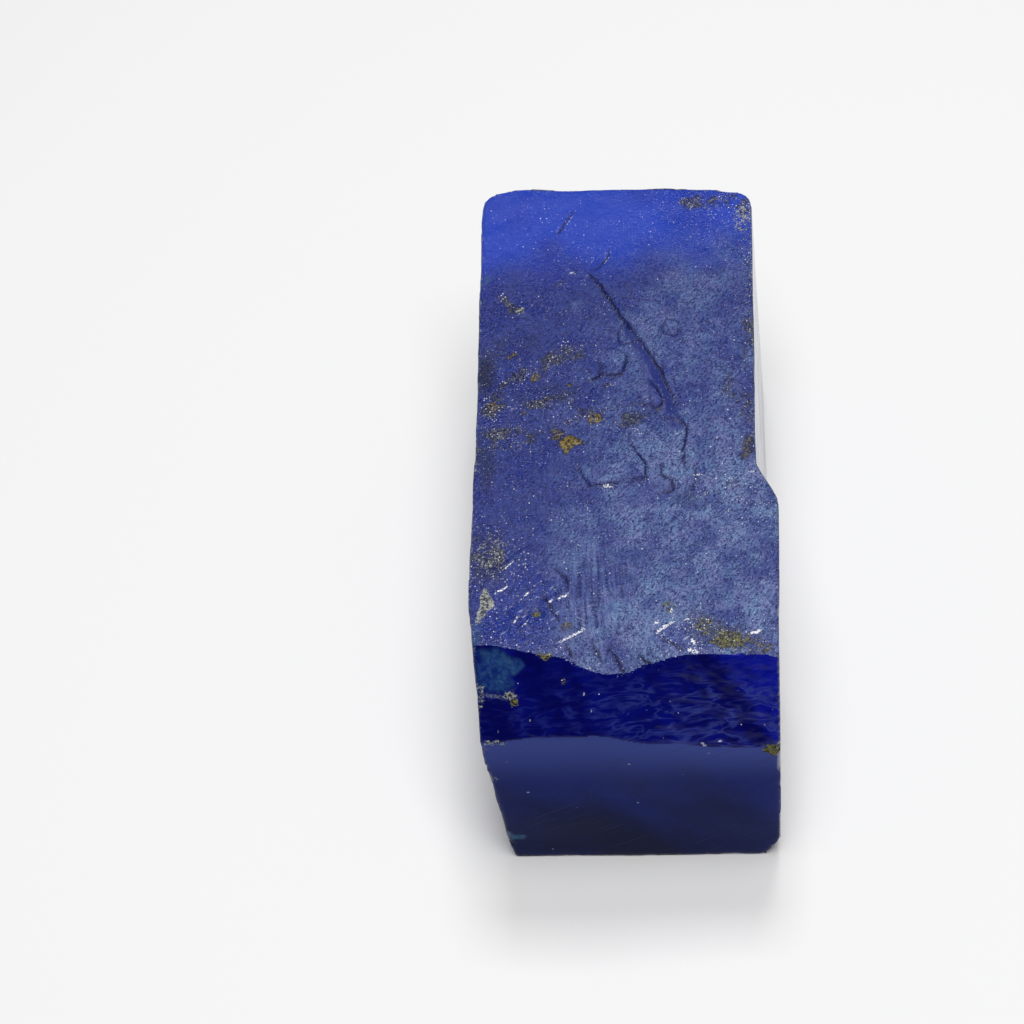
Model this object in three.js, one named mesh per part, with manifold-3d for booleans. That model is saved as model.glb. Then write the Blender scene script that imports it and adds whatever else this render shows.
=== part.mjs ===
// A block of rough blue gem stone: sawn on its base, sides and lower front, broken and worn elsewhere.
// Millimetres. +Z is up, +X is the right side, +Y is the far end, and the broken front end faces -Y.
// The stone is one raw box, cut back on each side by a cutter whose inner face carries that side's relief.
import * as THREE from 'three';
import { mergeVertices } from 'three/addons/utils/BufferGeometryUtils.js';
import Module from 'manifold-3d';

// Driving dimensions of the block
const HEIGHT = 27.5; // base to the highest point of the top
const FRONT_Y = -25.15; // sawn lower front face
const BASE_RIGHT_X = 12.1; // straight lower edge of the right side
const TOP_SAG = 0.18; // mean depth of the worn top below its highest point
const CENTRE = new THREE.Vector2(-0.08, 0.14); // middle of the outline, which becomes the origin
const MARGIN = 2; // how far the cutters reach past the raw box
const RAW = { left: -13.2, right: 13, front: -26, back: 26.6 };

// Outline of the top, as distances measured square to each side
const LEFT_EDGE = [[-25.2, -11.4], [-22.5, -11.45], [-20, -11.7], [-16, -12.02], [-12, -12.12], [-7, -12.1],
  [-2.5, -11.95], [2.5, -12.03], [12.5, -12.18], [20, -12.28], [23.6, -12.24], [24.6, -12], [25.2, -11.2]];
const RIGHT_EDGE = [[-25.2, 11.7], [-21, 11.75], [-18, 11.85], [-15, 12], [-7.6, 12.2], [-6.7, 12.08],
  [-5.2, 11.3], [-3.6, 10.55], [0, 10.55], [7.5, 10.74], [15, 10.82], [22.8, 10.96], [23.7, 10.75], [24.4, 10.1]];
const BACK_EDGE = [[-12.4, 24.2], [-11.9, 24.7], [-11.2, 25.1], [-10, 25.35], [-8.6, 25.56], [-6.5, 25.36],
  [-4.2, 25.25], [0, 25.2], [5, 25], [7.5, 24.85], [9, 24.5], [10.3, 24.35], [11, 23.7]];

// How far the left side comes in under the top, against height
const LEFT_UNDERCUT = [[0, 1.05], [1.2, 0.8], [3, 0.64], [7.5, 0.5], [12.5, 0.3], [18, 0], [28, 0]];

// The front break starts at this height on the sawn face, and runs back by this much for each millimetre up
const BREAK_START_Z = [[-12, 21.2], [-10, 21.4], [-7.5, 22.1], [-4, 22.2], [-2.5, 22.4], [-1.2, 22.1], [0, 21.5],
  [1.5, 20.95], [4, 20.9], [6, 20.3], [8, 20.05], [10, 20], [12, 20.5]];
const BREAK_RUN = [[-12, 0.88], [-9, 0.93], [-6, 0.87], [-2.5, 1], [0, 0.8], [2.5, 0.68], [5, 0.645], [8, 0.585],
  [12, 0.6]];

const BREAK_RISE = 9.6; // from its start to above the top
const BREAK_BELOW = 1.6; // reach of its cutter below the start

// Steps on the top. Each line runs along the middle of a step that falls towards the line's left-hand side.
const TOP_STEPS = [
  // the long diagonal step, then its hooked lower end
  { line: [[4.3, 2.4], [3.3, 5.6], [1.8, 7.8], [0.5, 9.8], [-1.2, 12.9], [-2.5, 15.2], [-1.1, 17.4], [-0.9, 19.4]],
    height: 0.42, run: 0.5, reach: 5 },
  { line: [[4.8, -3.4], [4.6, -1.4], [5.1, -0.1], [4.4, 1.6]], height: 0.24, run: 0.3, reach: 1.6 },
  // a rounded flake beside the step, and a second one in front of it
  { line: [[-2.6, 8], [-1.4, 8], [0, 7.3], [0.4, 6.4], [0, 5.5], [-1.9, 5.3], [-3.6, 4.7]],
    height: 0.24, run: 0.25, reach: 1.3 },
  { line: [[0.4, 5.5], [1.8, 4.8], [2.6, 3.6], [3.2, 1.9], [0, 2.1], [-3.2, 1.8], [-4.3, 2.3]],
    height: 0.24, run: 0.25, reach: 1.3 },
  // the raised rectangular flake
  { line: [[0.6, -0.8], [0.7, -2.3], [1.7, -3.9], [1.8, -5], [-1, -5.5], [-2.7, -5.6], [-3.3, -4], [-4, -2.4]],
    height: 0.3, run: 0.25, reach: 1.6 },
  // ledges of the glossy broken patch at the left of the lip
  { line: [[-11.4, -13.6], [-9.6, -12.6], [-8, -11.2], [-6.6, -10.6]], height: 0.22, run: 0.4, reach: 2 },
  { line: [[-9.4, -19.4], [-7.6, -17.9], [-6.6, -16.2], [-5, -15.2], [-4.4, -13.2]],
    height: 0.24, run: 0.3, reach: 1.6 },
  { line: [[-6.4, -20.4], [-4.6, -19.4], [-3.2, -18.6], [-2.2, -17]], height: 0.24, run: 0.3, reach: 1.4 },
  { line: [[1.6, -19.8], [2.7, -18.9], [3.9, -18], [5, -17.8], [6, -18.6]], height: 0.24, run: 0.3, reach: 1.2 },
];

// Shallow scoops on the top: centre, half lengths and depth
const TOP_SCOOPS = [
  { at: [-9.6, -16.6], half: [2.6, 3.6], depth: 0.34 },
  { at: [-6.6, -16.9], half: [0.9, 0.9], depth: 0.3 },
  { at: [3.4, 10], half: [1.1, 1.2], depth: 0.14 },
  { at: [-0.3, 10.4], half: [1, 0.9], depth: 0.12 },
  { at: [-10.6, 6], half: [2, 3.4], depth: 0.3 },
  { at: [-5.2, 0.4], half: [3.2, 2.2], depth: 0.2 },
  { at: [3.4, -6.4], half: [1.4, 1.2], depth: 0.18 },
  { at: [7.6, -19.4], half: [3.6, 1.3], depth: 0.26 },
];

// Crust and mineral grains that stand up from the top: centre, half width and height
const TOP_LUMPS = [
  { at: [-4.3, -1.3], half: 0.75, height: 0.2 },
  { at: [-2.3, 1.3], half: 0.7, height: 0.16 },
  { at: [-10.7, 2.3], half: 0.9, height: 0.2 },
  { at: [-8.7, 12.3], half: 0.9, height: 0.14 },
  { at: [-10.8, -16], half: 1, height: 0.2 },
  { at: [8.2, -19.3], half: 0.9, height: 0.16 },
];

// The lip sags in the middle of the front: centre, width of its flat middle and of its whole, start, end and drop
const LIP_SAG = { x: -1, halfMiddle: 0.8, halfWidth: 5.8, startY: -17.6, endY: -22, drop: 1.4 };

// Chips broken from the edges: centre and half lengths of each bite
const CHIPS = [
  { at: [12.05, -25.3, 17.2], half: [0.5, 0.6, 2.2] },
  { at: [12.25, -25.35, 12.6], half: [0.45, 0.6, 1.6] },
  { at: [12.35, -25.3, 7.2], half: [0.5, 0.7, 2.4] },
  { at: [11.9, -25.1, 19.6], half: [0.9, 0.7, 1.1] },
  { at: [10.1, -25.25, 8.4], half: [0.35, 0.4, 0.55] },
  { at: [-11.3, -25.3, 14.6], half: [0.6, 0.6, 0.9] },
  { at: [-11.6, -25.3, 19.9], half: [1.3, 0.6, 0.8] },
  { at: [-10.4, -25.3, 3.6], half: [0.9, 0.5, 2] },
  { at: [11.1, 24.9, 27.3], half: [1.4, 1.1, 0.9] },
  { at: [11, 13.2, 27.9], half: [0.6, 2.2, 0.8] },
  { at: [10.9, 3.4, 27.9], half: [0.6, 1.8, 0.8] },
  { at: [-12.5, -5.4, 27.8], half: [0.8, 2.4, 0.9] },
  { at: [-12.5, 5.6, 27.9], half: [0.9, 2.6, 0.9] },
  { at: [-12.4, 16.4, 27.9], half: [0.7, 2.2, 0.8] },
  { at: [-6.4, 25.7, 27.9], half: [2.4, 0.8, 0.9] },
  { at: [3.4, 25.5, 28], half: [2.8, 0.7, 0.9] },
];

// The far end has one shallow shell-shaped break low on its left, and the left side one near its middle
const BACK_SHELL = { x: -4.5, z: 7, half: 11, depth: 1.5 };
const LEFT_SHELL = { y: 6, z: 9, half: 12, depth: 1.1 };
const SHELL_RING_WIDTH = 2.3; // spacing of the ripples in a shell-shaped break

const clamp = (value, low, high) => Math.min(Math.max(value, low), high);

/** Goes smoothly from 0 to 1 as value goes from start to end. */
function ease(value, start, end) {
  const t = clamp((value - start) / (end - start), 0, 1);
  return t * t * (3 - 2 * t);
}

/** Height of a curve given by a few [position, value] points, with straight stretches between them. */
function along(points, position) {
  const last = points.length - 1;
  if (position <= points[0][0]) return points[0][1];
  if (position >= points[last][0]) return points[last][1];
  const i = points.findIndex((point) => point[0] > position);
  const [x0, y0] = points[i - 1];
  const [x1, y1] = points[i];
  return y0 + (y1 - y0) * (position - x0) / (x1 - x0);
}

/** A fixed number from 0 to 1 for each pair of whole numbers. */
function scatter(i, j) {
  const s = Math.sin(i * 127.1 + j * 311.7) * 43758.5453;
  return s - Math.floor(s);
}

/** Smooth wandering height from -1 to 1 whose lumps are about one unit apart. */
function wander(x, y) {
  const i = Math.floor(x);
  const j = Math.floor(y);
  const u = ease(x - i, 0, 1);
  const v = ease(y - j, 0, 1);
  const near = scatter(i, j) * (1 - u) + scatter(i + 1, j) * u;
  const far = scatter(i, j + 1) * (1 - u) + scatter(i + 1, j + 1) * u;
  return 2 * (near * (1 - v) + far * v) - 1;
}

/** Worn, uneven surface: broad swells with smaller ones on them. */
function uneven(x, y, size) {
  return wander(x / size, y / size) + 0.5 * wander(2.3 * x / size + 7, 2.3 * y / size + 3);
}

/** Nearest point of a line: signed distance (positive on the left-hand side) and how far along it lies, 0 to 1. */
function nearest(line, x, y) {
  let best = { distance: Infinity, share: 0 };
  for (let i = 0; i < line.length - 1; i++) {
    const [x0, y0] = line[i];
    const dx = line[i + 1][0] - x0;
    const dy = line[i + 1][1] - y0;
    const t = clamp(((x - x0) * dx + (y - y0) * dy) / (dx * dx + dy * dy), 0, 1);
    const offset = Math.hypot(x - x0 - t * dx, y - y0 - t * dy);
    if (offset < Math.abs(best.distance)) {
      const side = Math.sign(dx * (y - y0) - dy * (x - x0)) || 1;
      best = { distance: side * offset, share: (i + t) / (line.length - 1) };
    }
  }
  return best;
}

/** Rise or fall that a step gives a point. It fades along the step's ends and away from it. */
function stepRise({ line, height, run, reach }, x, y) {
  const { distance, share } = nearest(line, x, y);
  const ends = ease(share, 0, 0.18) * ease(1 - share, 0, 0.18);
  const slope = clamp(distance / run, -1, 1);
  return -0.5 * height * slope * ends * Math.exp(-Math.abs(distance) / reach);
}

/** Share of a round or oval hollow's depth at a point: 1 in its middle, 0 past its rim. */
function bowl(dx, dy) {
  const r = Math.hypot(dx, dy);
  return r < 1 ? 1 - ease(r, 0, 1) : 0;
}

/** Depth of a shell-shaped break, with ripples around its centre. */
function shell({ half, depth }, dx, dy) {
  const r = Math.hypot(dx, dy);
  const ripple = 0.12 * Math.sin(2 * Math.PI * r / SHELL_RING_WIDTH);
  return bowl(dx / half, dy / half) * (depth + ripple);
}

/** Height of the worn top. */
function topZ(x, y) {
  let z = HEIGHT - TOP_SAG + 0.06 * uneven(x, y, 5) + 0.03 * uneven(x, y, 1.7);
  for (const step of TOP_STEPS) z += stepRise(step, x, y);
  for (const { at, half, depth } of TOP_SCOOPS) z -= depth * bowl((x - at[0]) / half[0], (y - at[1]) / half[1]);
  for (const { at, half, height } of TOP_LUMPS) z += height * bowl((x - at[0]) / half, (y - at[1]) / half);
  const sagWidth = 1 - ease(Math.abs(x - LIP_SAG.x), LIP_SAG.halfMiddle, LIP_SAG.halfWidth);
  z -= LIP_SAG.drop * sagWidth * ease(y, LIP_SAG.startY, LIP_SAG.endY);
  return Math.min(z, HEIGHT);
}

/** Sawn lower front face, a little bowed. */
const frontY = (x, z) => FRONT_Y + 0.05 * uneven(x, z, 9);

/** Rippled break, at a distance up from the line where it starts on the sawn front. */
function breakY(x, up) {
  const ripples = 0.09 * Math.sin(2.4 * up + 0.5 * x + 2 * wander(x / 4, up / 3));
  const lumps = 0.08 * uneven(x, 2 * up, 3);
  return FRONT_Y + along(BREAK_RUN, x) * up + (ripples + lumps) * ease(up, 0, 1.5);
}

/** Left side: an old cleaved face that comes in under the top. */
function leftX(y, z) {
  const hollow = shell(LEFT_SHELL, y - LEFT_SHELL.y, z - LEFT_SHELL.z) * ease(y, -22, -14);
  return along(LEFT_EDGE, y) + along(LEFT_UNDERCUT, z) + hollow + 0.07 * uneven(y, z, 4) * ease(y, -24, -20);
}

/** Right side: a smooth sawn face that leans from the edge of the top out to the straight lower edge. */
function rightX(y, z) {
  const lean = along(RIGHT_EDGE, y) * (z / HEIGHT) + BASE_RIGHT_X * (1 - z / HEIGHT);
  const wornFoot = 1.6 * (1 - ease(z, -0.6, 2.8)) * (1 - ease(y, -25, -21.5));
  return lean - wornFoot + 0.02 * uneven(y, z, 6);
}

/** Far end: sawn, with a shell-shaped break low on one side. */
function backY(x, z) {
  const lean = 0.5 * (1 - z / HEIGHT);
  return along(BACK_EDGE, x) - lean - shell(BACK_SHELL, x - BACK_SHELL.x, z - BACK_SHELL.z) + 0.05 * uneven(x, z, 3);
}

/**
 * A cutter: a block that stands outside one side of the stone and carries that side's relief on its inner face.
 * place gives the point for two distances along the side and how far out it lies, 0 on the relief and 1 outside.
 */
function reliefCutter([u0, u1, uSteps], [v0, v1, vSteps], place) {
  const geometry = new THREE.BoxGeometry(1, 1, 1, uSteps, vSteps, 1);
  const position = geometry.getAttribute('position');
  for (let i = 0; i < position.count; i++) {
    const u = u0 + (u1 - u0) * (position.getX(i) + 0.5);
    const v = v0 + (v1 - v0) * (position.getY(i) + 0.5);
    position.setXYZ(i, ...place(u, v, position.getZ(i) + 0.5));
  }
  return geometry;
}

/** Point between the relief and the outside of the raw box. */
const outwards = (relief, outside, w) => relief * (1 - w) + outside * w;

const SPAN_X = [RAW.left - MARGIN, RAW.right + MARGIN];
const SPAN_Y = [RAW.front - MARGIN, RAW.back + MARGIN];
const SPAN_Z = [-MARGIN, HEIGHT + MARGIN];

const cutters = [
  reliefCutter([...SPAN_X, 40], [...SPAN_Y, 74], (x, y, w) => [x, y, outwards(topZ(x, y), HEIGHT + MARGIN, w)]),
  reliefCutter([...SPAN_X, 32], [-BREAK_BELOW, BREAK_RISE, 14],
    (x, up, w) => [x, outwards(breakY(x, up), SPAN_Y[0], w), along(BREAK_START_Z, x) + up]),
  reliefCutter([...SPAN_X, 17], [...SPAN_Z, 18], (x, z, w) => [x, outwards(frontY(x, z), SPAN_Y[0], w), z]),
  reliefCutter([...SPAN_Z, 14], [...SPAN_Y, 38], (z, y, w) => [outwards(leftX(y, z), SPAN_X[0], w), y, z]),
  reliefCutter([...SPAN_Y, 46], [...SPAN_Z, 11], (y, z, w) => [outwards(rightX(y, z), SPAN_X[1], w), y, z]),
  reliefCutter([...SPAN_Z, 15], [...SPAN_X, 20], (z, x, w) => [x, outwards(backY(x, z), SPAN_Y[1], w), z]),
];

/** The bite that a chip leaves: a small uneven ball. */
function chip({ at, half }) {
  const geometry = new THREE.IcosahedronGeometry(1, 1);
  const position = geometry.getAttribute('position');
  for (let i = 0; i < position.count; i++) {
    const point = new THREE.Vector3().fromBufferAttribute(position, i);
    const lump = 1 + 0.15 * wander(3 * point.x + at[2], 3 * point.y + 2 * point.z + at[1]);
    position.setXYZ(i, ...at.map((centre, axis) => centre + half[axis] * lump * point.getComponent(axis)));
  }
  return geometry;
}

const wasm = await Module();
wasm.setup();

/** Closed solid of a geometry, by its positions alone. */
function solidOf(geometry) {
  const bare = geometry.clone();
  bare.deleteAttribute('normal');
  bare.deleteAttribute('uv');
  const merged = mergeVertices(bare, 1e-5);
  return new wasm.Manifold(new wasm.Mesh({
    numProp: 3,
    vertProperties: merged.getAttribute('position').array,
    triVerts: new Uint32Array(merged.getIndex().array),
  }));
}

/** Geometry of a closed solid. */
function geometryOf(solid) {
  const { vertProperties, triVerts } = solid.getMesh();
  const geometry = new THREE.BufferGeometry();
  geometry.setAttribute('position', new THREE.BufferAttribute(vertProperties, 3));
  geometry.setIndex(new THREE.BufferAttribute(triVerts, 1));
  geometry.computeVertexNormals();
  return geometry;
}

const rawBox = new THREE.BoxGeometry(RAW.right - RAW.left, RAW.back - RAW.front, HEIGHT + 1);
rawBox.translate((RAW.right + RAW.left) / 2, (RAW.back + RAW.front) / 2, (HEIGHT + 1) / 2);

let stone = solidOf(rawBox);
for (const cutter of [...cutters, ...CHIPS.map(chip)]) stone = stone.subtract(solidOf(cutter));

const blueStone = new THREE.MeshStandardMaterial({ color: 0x28348c, roughness: 0.38, metalness: 0 });
const block = new THREE.Mesh(geometryOf(stone), blueStone);
block.name = 'stone_block';
block.position.set(-CENTRE.x, -CENTRE.y, 0);

const tanzanite = new THREE.Group();
tanzanite.add(block);

export default tanzanite;
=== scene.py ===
"""A rough block of blue gem stone on a pale table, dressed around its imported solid.

Shapes and finishes are given in millimetres, in the frame that the block is drawn in: +X right, +Y away from
the broken front end, +Z up, with z = 0 on the table. DRAWN_CENTRE is where that frame has the middle of the
block.
"""

import logging
import math
from dataclasses import dataclass, field
from enum import Enum
from typing import Sequence, Union

import bmesh
import bpy
import numpy as np
from mathutils import Matrix, Vector


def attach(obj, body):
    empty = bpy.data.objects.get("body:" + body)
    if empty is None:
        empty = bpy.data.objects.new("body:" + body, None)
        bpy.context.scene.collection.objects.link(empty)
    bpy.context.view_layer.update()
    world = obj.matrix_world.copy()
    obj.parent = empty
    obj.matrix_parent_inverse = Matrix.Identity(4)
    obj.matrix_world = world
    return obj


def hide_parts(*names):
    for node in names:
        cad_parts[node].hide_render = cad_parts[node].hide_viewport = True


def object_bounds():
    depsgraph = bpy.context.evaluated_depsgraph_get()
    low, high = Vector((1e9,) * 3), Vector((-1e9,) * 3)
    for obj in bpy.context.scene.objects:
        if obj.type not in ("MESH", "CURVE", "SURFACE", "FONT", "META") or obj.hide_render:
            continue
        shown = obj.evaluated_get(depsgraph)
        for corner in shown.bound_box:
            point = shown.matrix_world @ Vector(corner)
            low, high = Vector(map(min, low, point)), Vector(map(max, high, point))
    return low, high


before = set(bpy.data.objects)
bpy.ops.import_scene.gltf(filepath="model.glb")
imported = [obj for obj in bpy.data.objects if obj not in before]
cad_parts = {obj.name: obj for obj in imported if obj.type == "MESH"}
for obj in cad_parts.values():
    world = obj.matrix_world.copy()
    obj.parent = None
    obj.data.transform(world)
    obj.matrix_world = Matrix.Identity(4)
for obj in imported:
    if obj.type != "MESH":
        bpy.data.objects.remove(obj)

CAD_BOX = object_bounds()
LOG = logging.getLogger("stone")

MM = 0.001
DRAWN_CENTRE = Vector((-0.08, 0.14, 0.0))
STONE_NODE = "stone_block"

Point = tuple[float, float]
Place = tuple[float, float, float]
Colour = tuple[float, float, float]
Socket = bpy.types.NodeSocket
Source = Union[Socket, float, tuple, Vector]


class Side(Enum):
    """The faces of the block, each with its own relief and finish."""

    TOP = 0
    BREAK = 1
    FRONT = 2
    LEFT = 3
    RIGHT = 4
    FAR_END = 5
    BASE = 6


def ease(value: np.ndarray, start: float, end: float) -> np.ndarray:
    """Goes smoothly from 0 to 1 as value goes from start to end."""
    t = np.clip((value - start) / (end - start), 0.0, 1.0)
    return t * t * (3.0 - 2.0 * t)


def along(points: Sequence[Point], position: np.ndarray) -> np.ndarray:
    """Height of a curve given by a few (position, value) points, with straight stretches between them."""
    return np.interp(position, [p[0] for p in points], [p[1] for p in points])


def scatter(i: np.ndarray, j: np.ndarray) -> np.ndarray:
    """A fixed number from 0 to 1 for each pair of whole numbers."""
    s = np.sin(i * 127.1 + j * 311.7) * 43758.5453
    return s - np.floor(s)


def wander(x: np.ndarray, y: np.ndarray) -> np.ndarray:
    """Works out a smooth wandering height whose lumps are about one unit apart.

    Args:
        x: positions one way.
        y: positions the other way.

    Returns:
        The height at each position, -1 to 1.
    """
    i, j = np.floor(x), np.floor(y)
    u, v = ease(x - i, 0, 1), ease(y - j, 0, 1)
    near = scatter(i, j) * (1 - u) + scatter(i + 1, j) * u
    far = scatter(i, j + 1) * (1 - u) + scatter(i + 1, j + 1) * u
    return 2 * (near * (1 - v) + far * v) - 1


def uneven(x: np.ndarray, y: np.ndarray, size: float) -> np.ndarray:
    """Worn, uneven surface: broad swells about size apart, with smaller ones on them."""
    return wander(x / size, y / size) + 0.5 * wander(2.3 * x / size + 7, 2.3 * y / size + 3)


def swell(x: np.ndarray, y: np.ndarray, relief: Point) -> np.ndarray:
    """Uneven relief, given as its depth and the size of its lumps."""
    return relief[0] * uneven(x, y, relief[1])


def bowl(dx: np.ndarray, dy: np.ndarray) -> np.ndarray:
    """Share of an oval hollow's depth: 1 in its middle, 0 past its rim, which is at distance 1."""
    return 1 - ease(np.hypot(dx, dy), 0, 1)


def nearest(line: Sequence[Point], x: np.ndarray, y: np.ndarray) -> tuple[np.ndarray, np.ndarray]:
    """Finds the nearest place on a line.

    Args:
        line: the corners of the line.
        x: positions across the block.
        y: positions along the block.

    Returns:
        The signed distance, positive on the left-hand side, and the share of the line's length, 0 to 1.
    """
    best = np.full(x.shape, np.inf)
    share = np.zeros(x.shape)
    pieces = len(line) - 1
    for i in range(pieces):
        (x0, y0), (x1, y1) = line[i], line[i + 1]
        dx, dy = x1 - x0, y1 - y0
        t = np.clip(((x - x0) * dx + (y - y0) * dy) / (dx * dx + dy * dy), 0, 1)
        offset = np.hypot(x - x0 - t * dx, y - y0 - t * dy)
        side = np.where(dx * (y - y0) - dy * (x - x0) < 0, -1.0, 1.0)
        closer = offset < np.abs(best)
        best = np.where(closer, side * offset, best)
        share = np.where(closer, (i + t) / pieces, share)
    return best, share


@dataclass(frozen=True)
class Step:
    """A step on the top: a line along the middle of a slope that falls towards the line's left-hand side."""

    line: tuple[Point, ...]
    height: float
    run: float
    reach: float
    fade: float = 0.18

    def rise(self, x: np.ndarray, y: np.ndarray, sharpness: float) -> np.ndarray:
        """Works out what the step adds to the top. It fades at the line's ends and away from it.

        Args:
            x: positions across the block.
            y: positions along the block.
            sharpness: how many times steeper the slope is than its run says.

        Returns:
            The rise or fall at each position.
        """
        distance, share = nearest(self.line, x, y)
        ends = ease(share, 0, self.fade) * ease(1 - share, 0, self.fade)
        slope = np.clip(distance * sharpness / self.run, -1, 1)
        return -0.5 * self.height * slope * ends * np.exp(-np.abs(distance) / self.reach)


@dataclass(frozen=True)
class Dent:
    """An oval hollow on the top, or a lump where its depth is negative."""

    at: Point
    half: Point
    depth: float

    def rise(self, x: np.ndarray, y: np.ndarray) -> np.ndarray:
        """Height that the hollow takes away, as a negative number."""
        return -self.depth * bowl((x - self.at[0]) / self.half[0], (y - self.at[1]) / self.half[1])


@dataclass(frozen=True)
class Shell:
    """A shallow shell-shaped break with ripples around its middle, on one of the hidden sides."""

    middle: Point
    half: float
    depth: float
    ring_width: float = 2.3
    ring_depth: float = 0.12
    ripples_towards: float = 1.9
    outline: Point = (0.5, 4)

    def cut(self, u: np.ndarray, v: np.ndarray) -> np.ndarray:
        """Works out the depth of the break.

        Args:
            u: positions along the side.
            v: positions up the side.

        Returns:
            The depth at each position.
        """
        du, dv = u - self.middle[0], v - self.middle[1]
        away = np.hypot(du, dv) + swell(u, v, self.outline)
        fan = ease(np.cos(np.arctan2(dv, du) - self.ripples_towards), -0.2, 0.9) * ease(away, 1.5, 5)
        ripple = self.ring_depth * np.sin(2 * math.pi * away / self.ring_width) * fan
        return bowl(du / self.half, dv / self.half) * (self.depth + ripple)


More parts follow.
